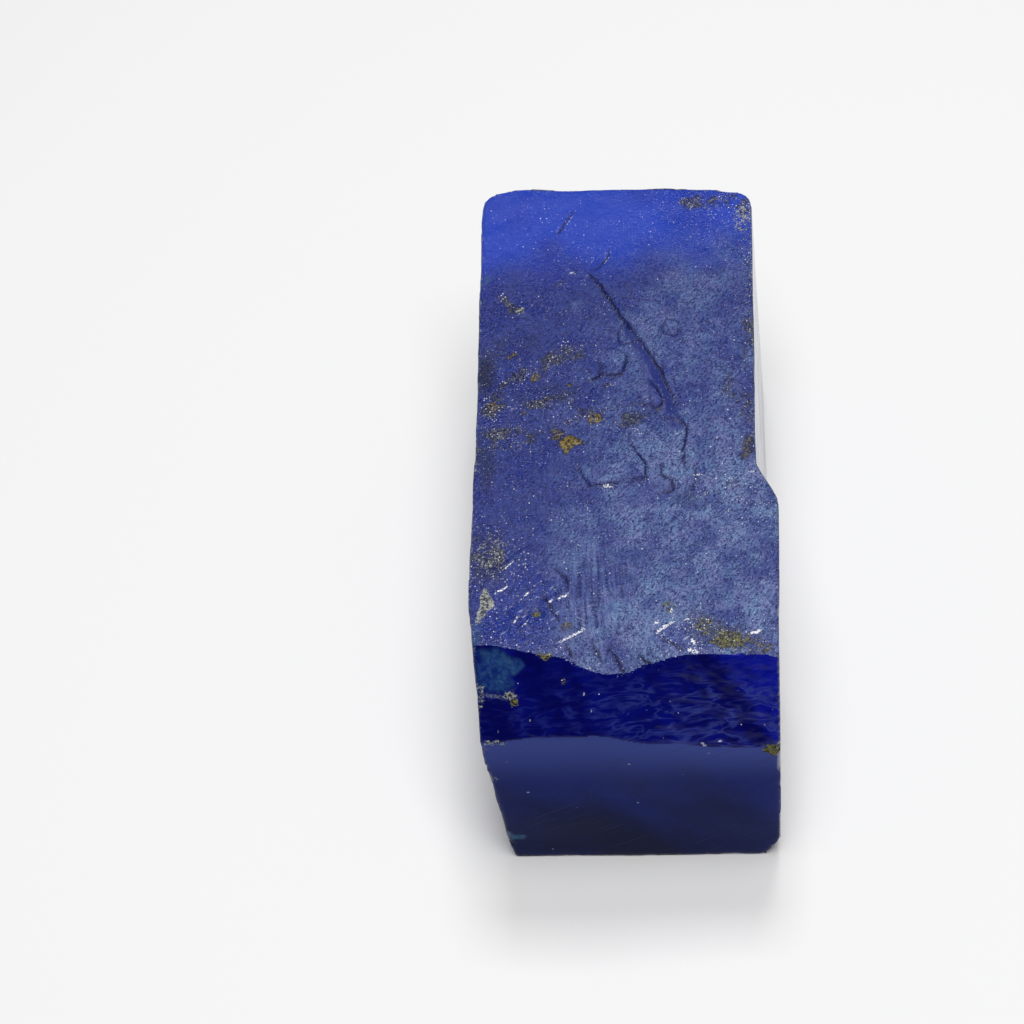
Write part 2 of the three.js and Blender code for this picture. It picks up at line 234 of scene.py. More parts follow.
@dataclass(frozen=True)
class StoneRelief:
    """The true surface of every side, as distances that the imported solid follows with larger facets."""

    height: float = 27.5
    front_y: float = -25.15
    base_right_x: float = 12.1
    worn_foot: float = 1.6
    top_sag: float = 0.18
    top_swells: tuple[Point, ...] = ((0.06, 5), (0.045, 1.7))
    front_swell: Point = (0.05, 9)
    left_swell: Point = (0.07, 4)
    right_swell: Point = (0.02, 6)
    far_end_swell: Point = (0.05, 3)
    far_end_lean: float = 0.5
    break_ripple: float = 0.015
    break_lumps: Point = (0.06, 3)
    break_grain: Point = (0.03, 0.75)
    left_edge: tuple[Point, ...] = (
        (-25.2, -11.4), (-22.5, -11.45), (-20, -11.7), (-16, -12.02), (-12, -12.12), (-7, -12.1),
        (-2.5, -11.95), (2.5, -12.03), (12.5, -12.18), (20, -12.28), (23.6, -12.24), (24.6, -12),
        (25.2, -11.2),
    )
    right_edge: tuple[Point, ...] = (
        (-25.2, 11.7), (-21, 11.75), (-18, 11.85), (-15, 12), (-7.6, 12.2), (-6.7, 12.08), (-5.2, 11.3),
        (-3.6, 10.55), (0, 10.55), (7.5, 10.74), (15, 10.82), (22.8, 10.96), (23.7, 10.75), (24.4, 10.1),
    )
    back_edge: tuple[Point, ...] = (
        (-12.4, 24.2), (-11.9, 24.7), (-11.2, 25.1), (-10, 25.35), (-8.6, 25.56), (-6.5, 25.36),
        (-4.2, 25.25), (0, 25.2), (5, 25), (7.5, 24.85), (9, 24.5), (10.3, 24.35), (11, 23.7),
    )
    left_undercut: tuple[Point, ...] = (
        (0, 1.05), (1.2, 0.8), (3, 0.64), (7.5, 0.5), (12.5, 0.3), (18, 0), (28, 0),
    )
    break_start_z: tuple[Point, ...] = (
        (-12, 21.2), (-10, 21.4), (-7.5, 22.1), (-4, 22.2), (-2.5, 22.4), (-1.2, 22.1), (0, 21.5),
        (1.5, 20.95), (4, 20.9), (6, 20.3), (8, 20.05), (10, 20), (12, 20.5),
    )
    break_run: tuple[Point, ...] = (
        (-12, 0.88), (-9, 0.93), (-6, 0.87), (-2.5, 1), (0, 0.8), (2.5, 0.68), (5, 0.645), (8, 0.585),
        (12, 0.6),
    )
    steps: tuple[Step, ...] = (
        Step(((4.7, 0.2), (4.0, 1.2), (3.44, 2.8), (2.96, 4.2), (2.4, 5.8), (1.75, 7.3), (0.93, 8.9),
            (0.1, 10.2), (-0.4, 11.0)), 0.46, 0.8, 5),
        Step(((1.2, 9.1), (0.6, 10.0), (-0.07, 11.1), (-0.57, 12.1), (-1.25, 13.2), (-2.1, 14.7),
            (-2.95, 15.8), (-3.6, 16.8)), 0.3, 0.4, 4),
        Step(((4.7, -3.8), (4.7, -2.2), (4.9, -1.2), (5.1, -0.1), (4.7, 0.8), (4.0, 1.1)),
            0.34, 0.28, 1.6),
        Step(((-2.4, 8.0), (-1.2, 8.2), (0.0, 7.8), (0.3, 7.3), (0.1, 6.3), (-0.2, 5.5), (-1.1, 5.4),
            (-1.8, 5.5), (-2.5, 4.9), (-3.3, 4.8)), 0.34, 0.26, 1.4),
        Step(((0.8, 5.3), (1.6, 5.0), (2.2, 4.8), (2.7, 4.0), (3.2, 3.0), (3.2, 2.4), (2.7, 2.0),
            (1.9, 2.3), (0.6, 2.4), (-1.6, 2.0), (-3.2, 1.8), (-3.7, 2.0), (-4.4, 2.9)), 0.34, 0.26, 1.4),
        Step(((0.3, 0.2), (0.6, -1.5), (1.4, -2.7), (1.9, -3.7), (1.7, -4.7), (1.0, -4.9), (-0.1, -5.1),
            (-1.0, -5.4), (-2.6, -5.5), (-3.3, -4.5), (-3.9, -3.0)), 0.4, 0.26, 1.8),
        Step(((-11.4, -13.6), (-9.6, -12.6), (-8, -11.2), (-6.6, -10.6)), 0.22, 0.4, 2),
        Step(((-9.4, -19.4), (-7.6, -17.9), (-6.6, -16.2), (-5, -15.2), (-4.4, -13.2)), 0.24, 0.3, 1.6),
        Step(((-6.4, -20.4), (-4.6, -19.4), (-3.2, -18.6), (-2.2, -17)), 0.24, 0.3, 1.4),
        Step(((1.6, -19.8), (2.7, -18.9), (3.9, -18), (5, -17.8), (6, -18.6)), 0.24, 0.3, 1.2),
    )
    dents: tuple[Dent, ...] = (
        Dent((-9.6, -16.6), (2.6, 3.6), 0.2), Dent((-6.6, -16.9), (0.9, 0.9), 0.3),
        Dent((3.4, 10), (1.1, 1.2), 0.14), Dent((-0.3, 10.4), (1, 0.9), 0.12),
        Dent((-10.6, 6), (2, 3.4), 0.3), Dent((-5.2, 0.4), (3.2, 2.2), 0.2),
        Dent((3.4, -6.4), (1.4, 1.2), 0.18), Dent((7.6, -19.4), (3.6, 1.3), 0.26),
        Dent((-4.3, -1.3), (0.75, 0.75), -0.2), Dent((-2.3, 1.3), (0.7, 0.7), -0.16),
        Dent((-10.7, 2.3), (0.9, 0.9), -0.2), Dent((-8.7, 12.3), (0.9, 0.9), -0.14),
        Dent((-10.8, -16), (1, 1), -0.2), Dent((8.2, -19.3), (0.9, 0.9), -0.16),
    )
    lip_sag_x: float = -1.0
    lip_sag_width: Point = (0.8, 5.8)
    lip_sag_span: Point = (-17.6, -22.0)
    lip_sag_drop: float = 1.4
    back_shell: Shell = Shell((-4.5, 7), 11, 1.5)
    left_shell: Shell = Shell((6, 9), 12, 1.1)
    sharpness: float = 1.9

    def top_z(self, x: np.ndarray, y: np.ndarray) -> np.ndarray:
        """Works out the worn top, with its steps as sharp as the fine mesh can hold.

        Args:
            x: positions across the block.
            y: positions along the block.

        Returns:
            The height at each position.
        """
        z = self.height - self.top_sag
        for relief in self.top_swells:
            z = z + swell(x, y, relief)
        for step in self.steps:
            z = z + step.rise(x, y, self.sharpness)
        for dent in self.dents:
            z = z + dent.rise(x, y)
        sag = 1 - ease(np.abs(x - self.lip_sag_x), *self.lip_sag_width)
        z = z - self.lip_sag_drop * sag * ease(y, *self.lip_sag_span)
        return np.minimum(z, self.height)

    def above_break(self, x: np.ndarray, z: np.ndarray) -> np.ndarray:
        """How far a point lies above the line where the break starts on the sawn front."""
        return z - along(self.break_start_z, x)

    def break_y(self, x: np.ndarray, z: np.ndarray) -> np.ndarray:
        """Works out the rippled break above the sawn front.

        Args:
            x: positions across the block.
            z: heights.

        Returns:
            The break's Y at each position.
        """
        up = self.above_break(x, z)
        ripples = self.break_ripple * np.sin(2.4 * up + 0.5 * x + 2 * wander(x / 4, up / 3))
        lumps = swell(x, 2 * up, self.break_lumps)
        fine = swell(0.45 * x, 1.7 * up + 0.2 * x, self.break_grain)
        return self.front_y + along(self.break_run, x) * up + (ripples + lumps + fine) * ease(up, 0, 1.5)

    def front_face_y(self, x: np.ndarray, z: np.ndarray) -> np.ndarray:
        """Sawn lower front face, a little bowed."""
        return self.front_y + swell(x, z, self.front_swell)

    def left_x(self, y: np.ndarray, z: np.ndarray) -> np.ndarray:
        """Works out the left side, an old cleaved face that comes in under the top.

        Args:
            y: positions along the block.
            z: heights.

        Returns:
            The side's X at each position.
        """
        hollow = self.left_shell.cut(y, z) * ease(y, -22, -14)
        lumps = swell(y, z, self.left_swell) * ease(y, -24, -20)
        return along(self.left_edge, y) + along(self.left_undercut, z) + hollow + lumps

    def right_x(self, y: np.ndarray, z: np.ndarray) -> np.ndarray:
        """Works out the right side, a smooth sawn face that leans out to the straight lower edge.

        Args:
            y: positions along the block.
            z: heights.

        Returns:
            The side's X at each position.
        """
        share = z / self.height
        lean = along(self.right_edge, y) * share + self.base_right_x * (1 - share)
        worn_foot = self.worn_foot * (1 - ease(z, -0.6, 2.8)) * (1 - ease(y, -25, -21.5))
        return lean - worn_foot + swell(y, z, self.right_swell)

    def far_end_y(self, x: np.ndarray, z: np.ndarray) -> np.ndarray:
        """Far end: sawn, with a shell-shaped break low on one side."""
        lean = self.far_end_lean * (1 - z / self.height)
        return along(self.back_edge, x) - lean - self.back_shell.cut(x, z) + swell(x, z, self.far_end_swell)

    def depths(self, points: np.ndarray) -> np.ndarray:
        """Works out the depth of each point under each side.

        Args:
            points: positions, one row each.

        Returns:
            One column for each Side, positive inside the stone, measured along that side's own axis.
        """
        x, y, z = points.T
        return np.stack(
            [
                self.top_z(x, y) - z,
                y - self.break_y(x, z),
                y - self.front_face_y(x, z),
                x - self.left_x(y, z),
                self.right_x(y, z) - x,
                self.far_end_y(x, z) - y,
                z,
            ],
            axis=1,
        )


# The way out of each Side, in their order
OUTWARDS = np.array([[0, 0, 1], [0, -1, 0], [0, -1, 0], [-1, 0, 0], [1, 0, 0], [0, 1, 0], [0, 0, -1]], float)


@dataclass(frozen=True)
class Patch:
    """An oval patch of some mineral or wear on the surface."""

    at: Place
    half: Place
    strength: float = 1.0
    core: float = 0.35

    def mask(self, points: np.ndarray) -> np.ndarray:
        """Strength of the patch at each point, full in its core and 0 at its rim."""
        r = np.linalg.norm((points - np.array(self.at)) / np.array(self.half), axis=1)
        return self.strength * (1 - ease(r, self.core, 1.0))


@dataclass(frozen=True)
class Trace:
    """A line on the top: a crack, a painted highlight streak or a band of minerals."""

    line: tuple[Point, ...]
    half_width: float = 0.1
    strength: float = 1.0
    fading: Point = (0.3, 1.35)

    def mask(self, points: np.ndarray) -> np.ndarray:
        """Works out the line's strength, which thins out at its ends.

        Args:
            points: positions, one row each.

        Returns:
            The strength at each point. It fades between the two shares of the half width.
        """
        distance, share = nearest(self.line, points[:, 0], points[:, 1])
        taper = 0.5 + 0.5 * np.sin(math.pi * np.clip(share, 0.08, 0.92))
        return self.strength * (1 - ease(np.abs(distance) / self.half_width, *self.fading)) * taper


TOP_Z = 27.4
TOP_HALF_Z = 1.5


def top_patches(*rows: tuple[float, ...]) -> tuple[Patch, ...]:
    """Patches on the top, from rows of x, y, half size in x and y, and strength where it isn't 1."""
    return tuple(
        Patch((x, y, TOP_Z), (half_x, half_y, TOP_HALF_Z), *rest) for x, y, half_x, half_y, *rest in rows
    )


@dataclass(frozen=True)
class SurfaceMarks:
    """Where each mineral and kind of wear lies, and where sheen, glints and shade are painted. Every mark
    becomes a number on each point of the mesh.
    """

    ochre: tuple[Patch, ...] = top_patches(
        (-4.3, -1.25, 1.15, 0.9, 1.1), (-5.35, -0.2, 0.8, 0.8, 0.48), (-2.3, 1.4, 1.0, 0.6, 0.62),
        (-7.2, 5.6, 0.7, 0.7, 0.6), (-10.7, 2.4, 0.9, 1.1, 0.45), (10.0, -2.2, 0.9, 1.9, 0.34),
        (-4.7, 4.4, 0.5, 0.3, 0.5), (-6.3, 3.0, 0.4, 0.3, 0.5), (-9.2, 7.4, 0.4, 0.3, 0.5),
        (-8.1, 1.7, 0.5, 0.3, 0.4),
    )
    olive: tuple[Patch, ...] = (
        *top_patches(
            (8.2, -19.6, 3.2, 1.1, 0.66), (6.2, -18.5, 1.6, 1.2, 0.5), (3.6, -16.7, 0.8, 1.1, 0.5),
            (-6.6, -16.9, 0.65, 0.55, 0.8), (10.6, -20.2, 1.2, 0.8, 0.5), (-6.0, -20.6, 0.9, 0.4, 0.6),
            (10.3, 8.6, 0.5, 0.5, 0.5), (-4.4, -18.4, 0.9, 0.6, 0.5),
        ),
        Patch((11.3, -25.0, 19.4), (1.0, 1.2, 1.4), 0.9),
        Patch((-8.3, -22.9, 24.0), (0.5, 0.8, 0.5), 0.8),
        Patch((-4.9, -22.0, 25.4), (0.5, 0.8, 0.4), 0.8),
    )
    crust: tuple[Patch, ...] = (
        *top_patches(
            (-10.8, -15.8, 0.65, 1.7), (-11.0, -17.0, 0.5, 1.0, 0.85), (-8.5, 12.3, 0.8, 0.6, 0.8),
            (10.2, 21.2, 1.6, 3.6, 0.42), (-10.5, -11.6, 2.4, 3.2, 0.4), (10.4, 12, 0.8, 5, 0.3),
            (9.8, 0.5, 1.2, 3.5, 0.25), (-11.4, -21, 0.8, 2.0, 0.4), (8.4, -20.5, 2.4, 0.5, 0.42),
            (5.6, -18.4, 1.6, 1.6, 0.3),
        ),
        Patch((-11.2, -23.0, 24.0), (0.6, 1.6, 2.6), 0.45),
        Patch((-10.5, -25.0, 21.2), (1.6, 0.8, 0.6), 0.5),
        Patch((-8.6, -22.6, 24.4), (1.5, 1.0, 0.5), 0.6),
        Patch((-10.4, -25.1, 14.9), (0.8, 0.6, 0.6), 0.4),
    )
    teal: tuple[Patch, ...] = (
        *top_patches((-11.7, 15.2, 0.5, 0.9, 0.6)),
        Patch((-9.9, -21.3, 25.8), (2.5, 2.8, 2.3)), Patch((-11.3, -19.4, 27.0), (1.0, 2.2, 1.4), 0.55),
        Patch((-11.5, -21.8, 25.4), (1.2, 2.6, 2.6), 0.5),
        Patch((-10.1, -25.1, 4.3), (0.8, 0.8, 1.2), 0.9), Patch((-8.8, -25.1, 2.4), (1.0, 0.8, 0.7), 0.8),
        Patch((11.6, -6.8, 27.0), (0.5, 0.8, 0.8), 0.5),
    )
    dusk: tuple[Patch, ...] = top_patches(
        (-11.4, 5.8, 1.5, 3.6), (-9.0, 8.5, 3.2, 1.8, 0.5), (-6.0, 3.6, 4.2, 1.6, 0.5),
        (-11.2, -3.0, 1.2, 4.0, 0.6), (1.5, 1.5, 2.6, 0.8, 0.5), (-10.6, -11.6, 2.2, 3.3, 0.9),
        (5.6, -6.8, 2.4, 1.2, 0.45), (7.2, -19.0, 3.0, 1.4, 0.6),
    )
    # Short bright streaks: painted highlights where chipped facets catch the light.
    painted_highlight_streaks: tuple[Trace, ...] = (
        Trace(((-1.6, -5.5), (-0.8, -5.5)), 0.1),
        Trace(((-4.9, -19.5), (-3.9, -19.0), (-3.1, -18.5)), 0.14),
        Trace(((-5.0, -15.9), (-4.3, -15.4)), 0.09),
        Trace(((2.5, -18.9), (3.0, -18.5), (3.9, -18.0)), 0.15),
        Trace(((4.8, -20.5), (5.6, -20.7)), 0.15), Trace(((5.2, -19.6), (5.5, -20.2)), 0.12),
        Trace(((9.6, -19.1), (10.5, -19.0)), 0.13), Trace(((5.5, -4.6), (6.3, -4.65)), 0.06, 0.6),
        Trace(((9.0, -4.6), (10.8, -4.4)), 0.06, 0.6), Trace(((-10.0, -15.2), (-9.0, -14.5)), 0.07),
        Trace(((-8.0, -15.8), (-7.4, -15.2)), 0.07), Trace(((-8.6, -18.2), (-8.2, -17.4)), 0.07),
        Trace(((-7.7, -18.2), (-7.4, -17.7)), 0.07), Trace(((3.6, -16.9), (3.8, -17.3)), 0.09),
        Trace(((-5.7, -16.1), (-5.5, -15.95)), 0.12), Trace(((4.7, -17.95), (4.9, -17.85)), 0.12),
        Trace(((2.4, -18.05), (2.7, -17.95)), 0.12), Trace(((-3.0, -22.0), (-1.9, -22.2)), 0.1, 0.8),
        Trace(((0.3, -22.1), (2.4, -21.6)), 0.1, 0.8), Trace(((-9.6, -13.2), (-8.6, -12.2)), 0.06, 0.8),
        Trace(((-3.6, 22.6), (-4.4, 22.2), (-4.9, 21.3), (-5.3, 20.4)), 0.07, 0.42),
        Trace(((-1.0, 18.6), (-1.3, 17.5), (-1.8, 16.6)), 0.07, 0.45),
        Trace(((-4.6, 16.0), (-4.0, 16.2)), 0.1, 0.6),
    )
    # Dark crack lines along the flake edges: partly their own dark fill, partly painted shade in the creases.
    cracks_and_painted_shade: tuple[Trace, ...] = (
        Trace(((-4.2, 22.7), (-4.9, 21.8), (-5.3, 20.8), (-5.6, 20.4)), 0.12, 0.6),
        Trace(((-1.2, 18.6), (-1.4, 17.6), (-1.9, 16.7), (-2.8, 16.2)), 0.1, 0.6),
        Trace(((-2.95, 15.8), (-2.1, 14.7), (-1.25, 13.2), (-0.57, 12.1), (-0.07, 11.1), (0.6, 10.0)),
            0.15, 0.75),
        Trace(((0.6, 10.0), (1.6, 8.5), (2.1, 7.5), (2.7, 6.2), (3.2, 5.2), (3.6, 4.0), (4.0, 2.9),
            (4.4, 2.1)), 0.12, 0.8),
        Trace(((3.2, 1.2), (4.5, 0.7), (5.1, -0.1), (4.9, -1.2), (4.7, -3.2), (5.0, -3.9)), 0.13, 0.7),
        Trace(((-0.1, 10.9), (-0.4, 9.8), (-0.3, 9.0), (0.3, 8.8), (1.3, 8.7)), 0.1, 0.6),
        Trace(((-2.1, 7.0), (-1.9, 6.2), (-1.8, 5.5), (-2.5, 4.9), (-3.2, 4.8)), 0.12, 0.6),
        Trace(((0.3, 7.3), (0.1, 6.3), (-0.2, 5.5), (-1.1, 5.4), (-1.7, 5.5)), 0.12, 0.6),
        Trace(((1.6, 5.0), (2.2, 4.8), (2.7, 4.0), (3.2, 3.0), (3.2, 2.4), (2.7, 2.0), (1.9, 2.4),
            (0.6, 2.5)), 0.12, 0.6),
        Trace(((-4.3, 2.8), (-3.7, 2.0), (-3.2, 1.8)), 0.12, 0.6),
        Trace(((0.4, -0.1), (0.6, -1.5), (1.4, -2.7), (1.9, -3.6), (1.8, -4.8), (0.6, -5.1)), 0.12, 0.6),
        Trace(((-0.6, -5.2), (-2.6, -5.5), (-3.3, -4.5), (-3.8, -3.2)), 0.11, 0.5),
        Trace(((3.1, -3.4), (3.0, -4.3), (3.8, -5.1), (3.9, -5.9), (3.1, -6.1)), 0.12, 0.7),
        Trace(((5.6, -3.6), (5.8, -5.0), (5.2, -6.4)), 0.1, 0.6),
        Trace(((-3.6, 13.9), (-2.9, 12.2), (-2.7, 11.0)), 0.1, 0.2),
        Trace(((-6.1, 9.8), (-5.6, 10.6), (-4.9, 12.3), (-3.8, 13.7)), 0.12, 0.2),
        Trace(((4.5, 10.7), (3.6, 10.9), (3.0, 10.1), (3.4, 9.3), (4.3, 9.2), (4.7, 9.9), (4.5, 10.7)),
            0.1, 0.5),
        Trace(((-5.3, -13.1), (-4.4, -14.0), (-4.3, -14.9)), 0.13, 0.8),
        Trace(((-6.5, -15.1), (-5.6, -16.7), (-4.9, -17.8)), 0.12, 0.7),
        Trace(((-1.1, -20.0), (0.2, -22.1)), 0.12, 0.8), Trace(((1.1, -20.6), (2.2, -21.6)), 0.12, 0.8),
        Trace(((3.0, -19.4), (4.5, -20.6)), 0.12, 0.8), Trace(((-4.4, -19.7), (-3.9, -20.6)), 0.12, 0.8),
        Trace(((-2.5, -19.4), (-1.8, -20.7)), 0.1, 0.6),
    )
    smooth: tuple[Trace, ...] = (
        Trace(((0.1, 10.2), (0.93, 8.9), (1.75, 7.3), (2.4, 5.8), (2.96, 4.2), (3.44, 2.8), (4.0, 1.2),
            (4.4, 0.3)), 0.55),
        Trace(((1.0, -6.6), (3.0, -6.0)), 1.1, 0.6),
    )
    bands: tuple[Trace, ...] = (
        Trace(((-11.6, 3.2), (-10.0, 4.2), (-7.7, 5.8), (-4.4, 7.5), (-2.7, 8.0)), 0.75),
        Trace(((-12.0, 0.9), (-10.7, 2.2), (-9.4, 3.2)), 0.8),
        Trace(((-11.2, -1.7), (-8.7, -0.7), (-6.4, 0.3), (-4.6, 0.4), (-3.2, 1.3), (1.6, 1.0),
            (3.3, 1.5)), 0.75),
        Trace(((-7.9, 2.6), (-4.9, 2.9)), 0.8, 1.1), Trace(((-10.9, -0.2), (-8.8, 0.1)), 0.9, 1.4),
        Trace(((-2.0, 4.2), (-0.4, 4.8)), 0.5, 0.8), Trace(((-10.4, 13.4), (-8.3, 12.2)), 0.6, 0.9),
        Trace(((-6.5, 14.1), (-3.6, 16.0)), 0.4, 0.6), Trace(((-5.2, 8.0), (-2.0, 8.8)), 0.9, 0.8),
        Trace(((10.6, 21.0), (10.5, 13.4), (10.4, 9.2), (10.3, 4.1), (10.0, -2.2)), 0.8, 0.75),
        Trace(((8.0, 6.4), (8.6, 3.6), (9.4, 1.8)), 0.9, 0.6),
        Trace(((6.9, -5.4), (9.0, -5.9), (11.2, -8.4)), 1.1, 0.7),
        Trace(((5.4, 23.6), (8.6, 23.4), (10.6, 22.4)), 0.9, 1.4),
        Trace(((-11.2, -9.4), (-10.8, -14.0)), 2.1, 0.9),
        Trace(((5.2, -17.4), (6.6, -19.0), (9.0, -19.8), (11.2, -20.4)), 1.1, 0.85),
    )
    glossy: tuple[Patch, ...] = top_patches(
        (-8.0, -16.8, 4.6, 5.0), (3.9, -19.4, 2.6, 1.8, 0.7), (-1.4, -20.6, 4.6, 1.7, 0.6),
    )
    # Patches where the painted glints crowd.
    painted_glints: tuple[Patch, ...] = top_patches(
        (-7.0, 4.4, 6.0, 4.2, 0.5), (-9.5, -12.0, 4.0, 4.5, 0.6), (4.4, -19.4, 3.2, 2.2, 1.7),
        (-1.5, -21.2, 5.0, 1.5, 1.6), (-1.0, 4.5, 1.4, 0.6, 1.3), (-9.4, 0.0, 2.4, 1.6, 1.0),
        (8.5, -6.5, 4.2, 3.0, 0.6), (-8.2, -16.5, 4.0, 4.0, 0.5), (10.0, -18.5, 2.4, 2.4, 0.6),
        (1.0, 1.0, 4.0, 2.0, 0.4), (9.0, 5.0, 3.0, 9.0, 0.25),
    )
    # Patches where the pale frost is stronger; its paleness is partly painted sheen.
    frost_and_sheen: tuple[Patch, ...] = top_patches(
        (9.2, -8.5, 4.4, 6.0, 1.6), (1.6, -17.6, 3.6, 4.4, 0.85), (-1.2, -4.0, 2.6, 2.0, 0.8),
        (3.8, -1.0, 2.4, 5.0, 0.6), (10.6, -16.6, 1.6, 3.4), (-2.4, 11.0, 1.8, 2.6, 0.7),
        (5.6, 8.0, 2.4, 3.6, 0.8), (1.6, 3.4, 2.0, 1.6, 0.5), (-3.4, 12.4, 0.9, 0.8, 1.4),
        (-2.7, 11.0, 0.7, 0.6, 1.1), (-0.4, 7.2, 1.4, 0.7, 0.6), (0.4, 9.6, 4.0, 3.6, 0.4),
    )
    pins: tuple[Patch, ...] = (
        Patch((-3.15, -22.84, 24.68), (0.2, 0.6, 0.2), 0.7),
        Patch((-7.4, -24.1, 23.2), (0.2, 0.6, 0.18), 0.6),
        Patch((-9.9, -24.5, 22.1), (0.2, 0.6, 0.2), 0.6),
        Patch((-2.6, -23.7, 23.8), (0.18, 0.6, 0.18), 0.6),
        Patch((5.9, -25.1, 20.4), (0.32, 0.6, 0.4), 0.7), Patch((7.2, -24.9, 20.6), (0.2, 0.6, 0.2), 0.8),
        Patch((-0.8, -25.15, 13.3), (0.3, 0.6, 0.3), 0.4),
        Patch((-3.1, -25.15, 11.7), (0.3, 0.6, 0.3), 0.4),
        Patch((-5.1, -25.15, 9.1), (0.3, 0.6, 0.3), 0.4),
        Patch((-8.1, -25.15, 4.0), (0.3, 0.6, 0.3), 0.4),
        Patch((-0.6, -25.15, 10.5), (0.3, 0.6, 0.3), 0.35),
    )
    striae: tuple[Patch, ...] = top_patches((-2.4, -15.6, 3.8, 7.2), (1.6, -19.6, 4.0, 3.6, 0.7))
    top_from: Point = (24.5, 26.0)
    far_end_from: Point = (13.6, 21.5)
    far_end_outline: Point = (1.6, 3.2)

    @staticmethod
    def together(
        marks: Sequence["Patch | Trace"], points: np.ndarray, bend: float = 0.35, size: float = 1.1
    ) -> np.ndarray:
        """Finds the strongest of several patches or lines at each point.

        Args:
            marks: the patches or lines.
            points: positions, one row each.
            bend: how far an outline strays from its plain shape.
            size: length of the strays.

        Returns:
            The strength at each point.
        """
        x, y, z = points.T
        stray = np.stack([uneven(x, y + z, size), uneven(x + 30, y - z, size), 0 * x], axis=1)
        return np.max([mark.mask(points + bend * stray) for mark in marks], axis=0)

    def fields(self, points: np.ndarray) -> dict[str, np.ndarray]:
        """Works out every mark on every point.

        Args:
            points: positions, one row each.

        Returns:
            The marks by name, 0 where there is none and 1 or a little more where it is strong.
        """
        x, y, z = points.T
        on_top = ease(z, *self.top_from)
        cobalt = ease(y - 0.1 * x + swell(x, y, self.far_end_outline), *self.far_end_from) * on_top
        patchy = 0.5 + 0.3 * uneven(x + 0.6 * z, y - 0.6 * z, 1.9) + 0.16 * uneven(x - 20, y + z, 0.7)
        cloud = 0.5 + 0.36 * uneven(x + 0.5 * z + 11, y - 0.7 * z, 6.0)
        # The pale frost is partly painted sheen: it grows towards the right and towards the front.
        sheen_towards_front = 0.62 + 0.38 * ease(-y, -5.0, 5.0)
        frost_and_sheen = 0.16 + 0.84 * ease(x + 0.5 * uneven(x, y, 3.0) - 0.22 * y, -8.0, 2.5) * sheen_towards_front
        frost_and_sheen = frost_and_sheen + self.together(self.frost_and_sheen, points) * 0.45
        clusters = 0.45 + 0.65 * ease(uneven(x + 9, y - 4, 1.6), -0.5, 0.6)
        bands = self.together(self.bands, points, 0.5) * on_top * clusters
        return {
            "ochre": self.together(self.ochre, points),
            "olive": self.together(self.olive, points),
            "crust": self.together(self.crust, points),
            "teal": self.together(self.teal, points, 0.7, 1.8),
            "dusk": self.together(self.dusk, points),
            "glossy": self.together(self.glossy, points) * on_top,
            "band": bands,
            "crack_and_painted_shade": self.together(self.cracks_and_painted_shade, points, 0.09, 0.6) * on_top,
            "smooth": self.together(self.smooth, points, 0.1) * on_top,
            "striae": self.together(self.striae, points),
            "painted_glints": np.maximum(self.together(self.painted_glints, points), bands),
            "painted_highlight_streak": self.together(self.painted_highlight_streaks, points, 0.06, 0.5) * on_top,
            "pin": self.together(self.pins, points, 0.16, 0.4),
            "cobalt": cobalt,
            "frost_and_sheen": np.clip(frost_and_sheen, 0, 1.3),
            "patchy": np.clip(patchy, 0, 1),
            "cloud": np.clip(cloud, 0, 1),
        }


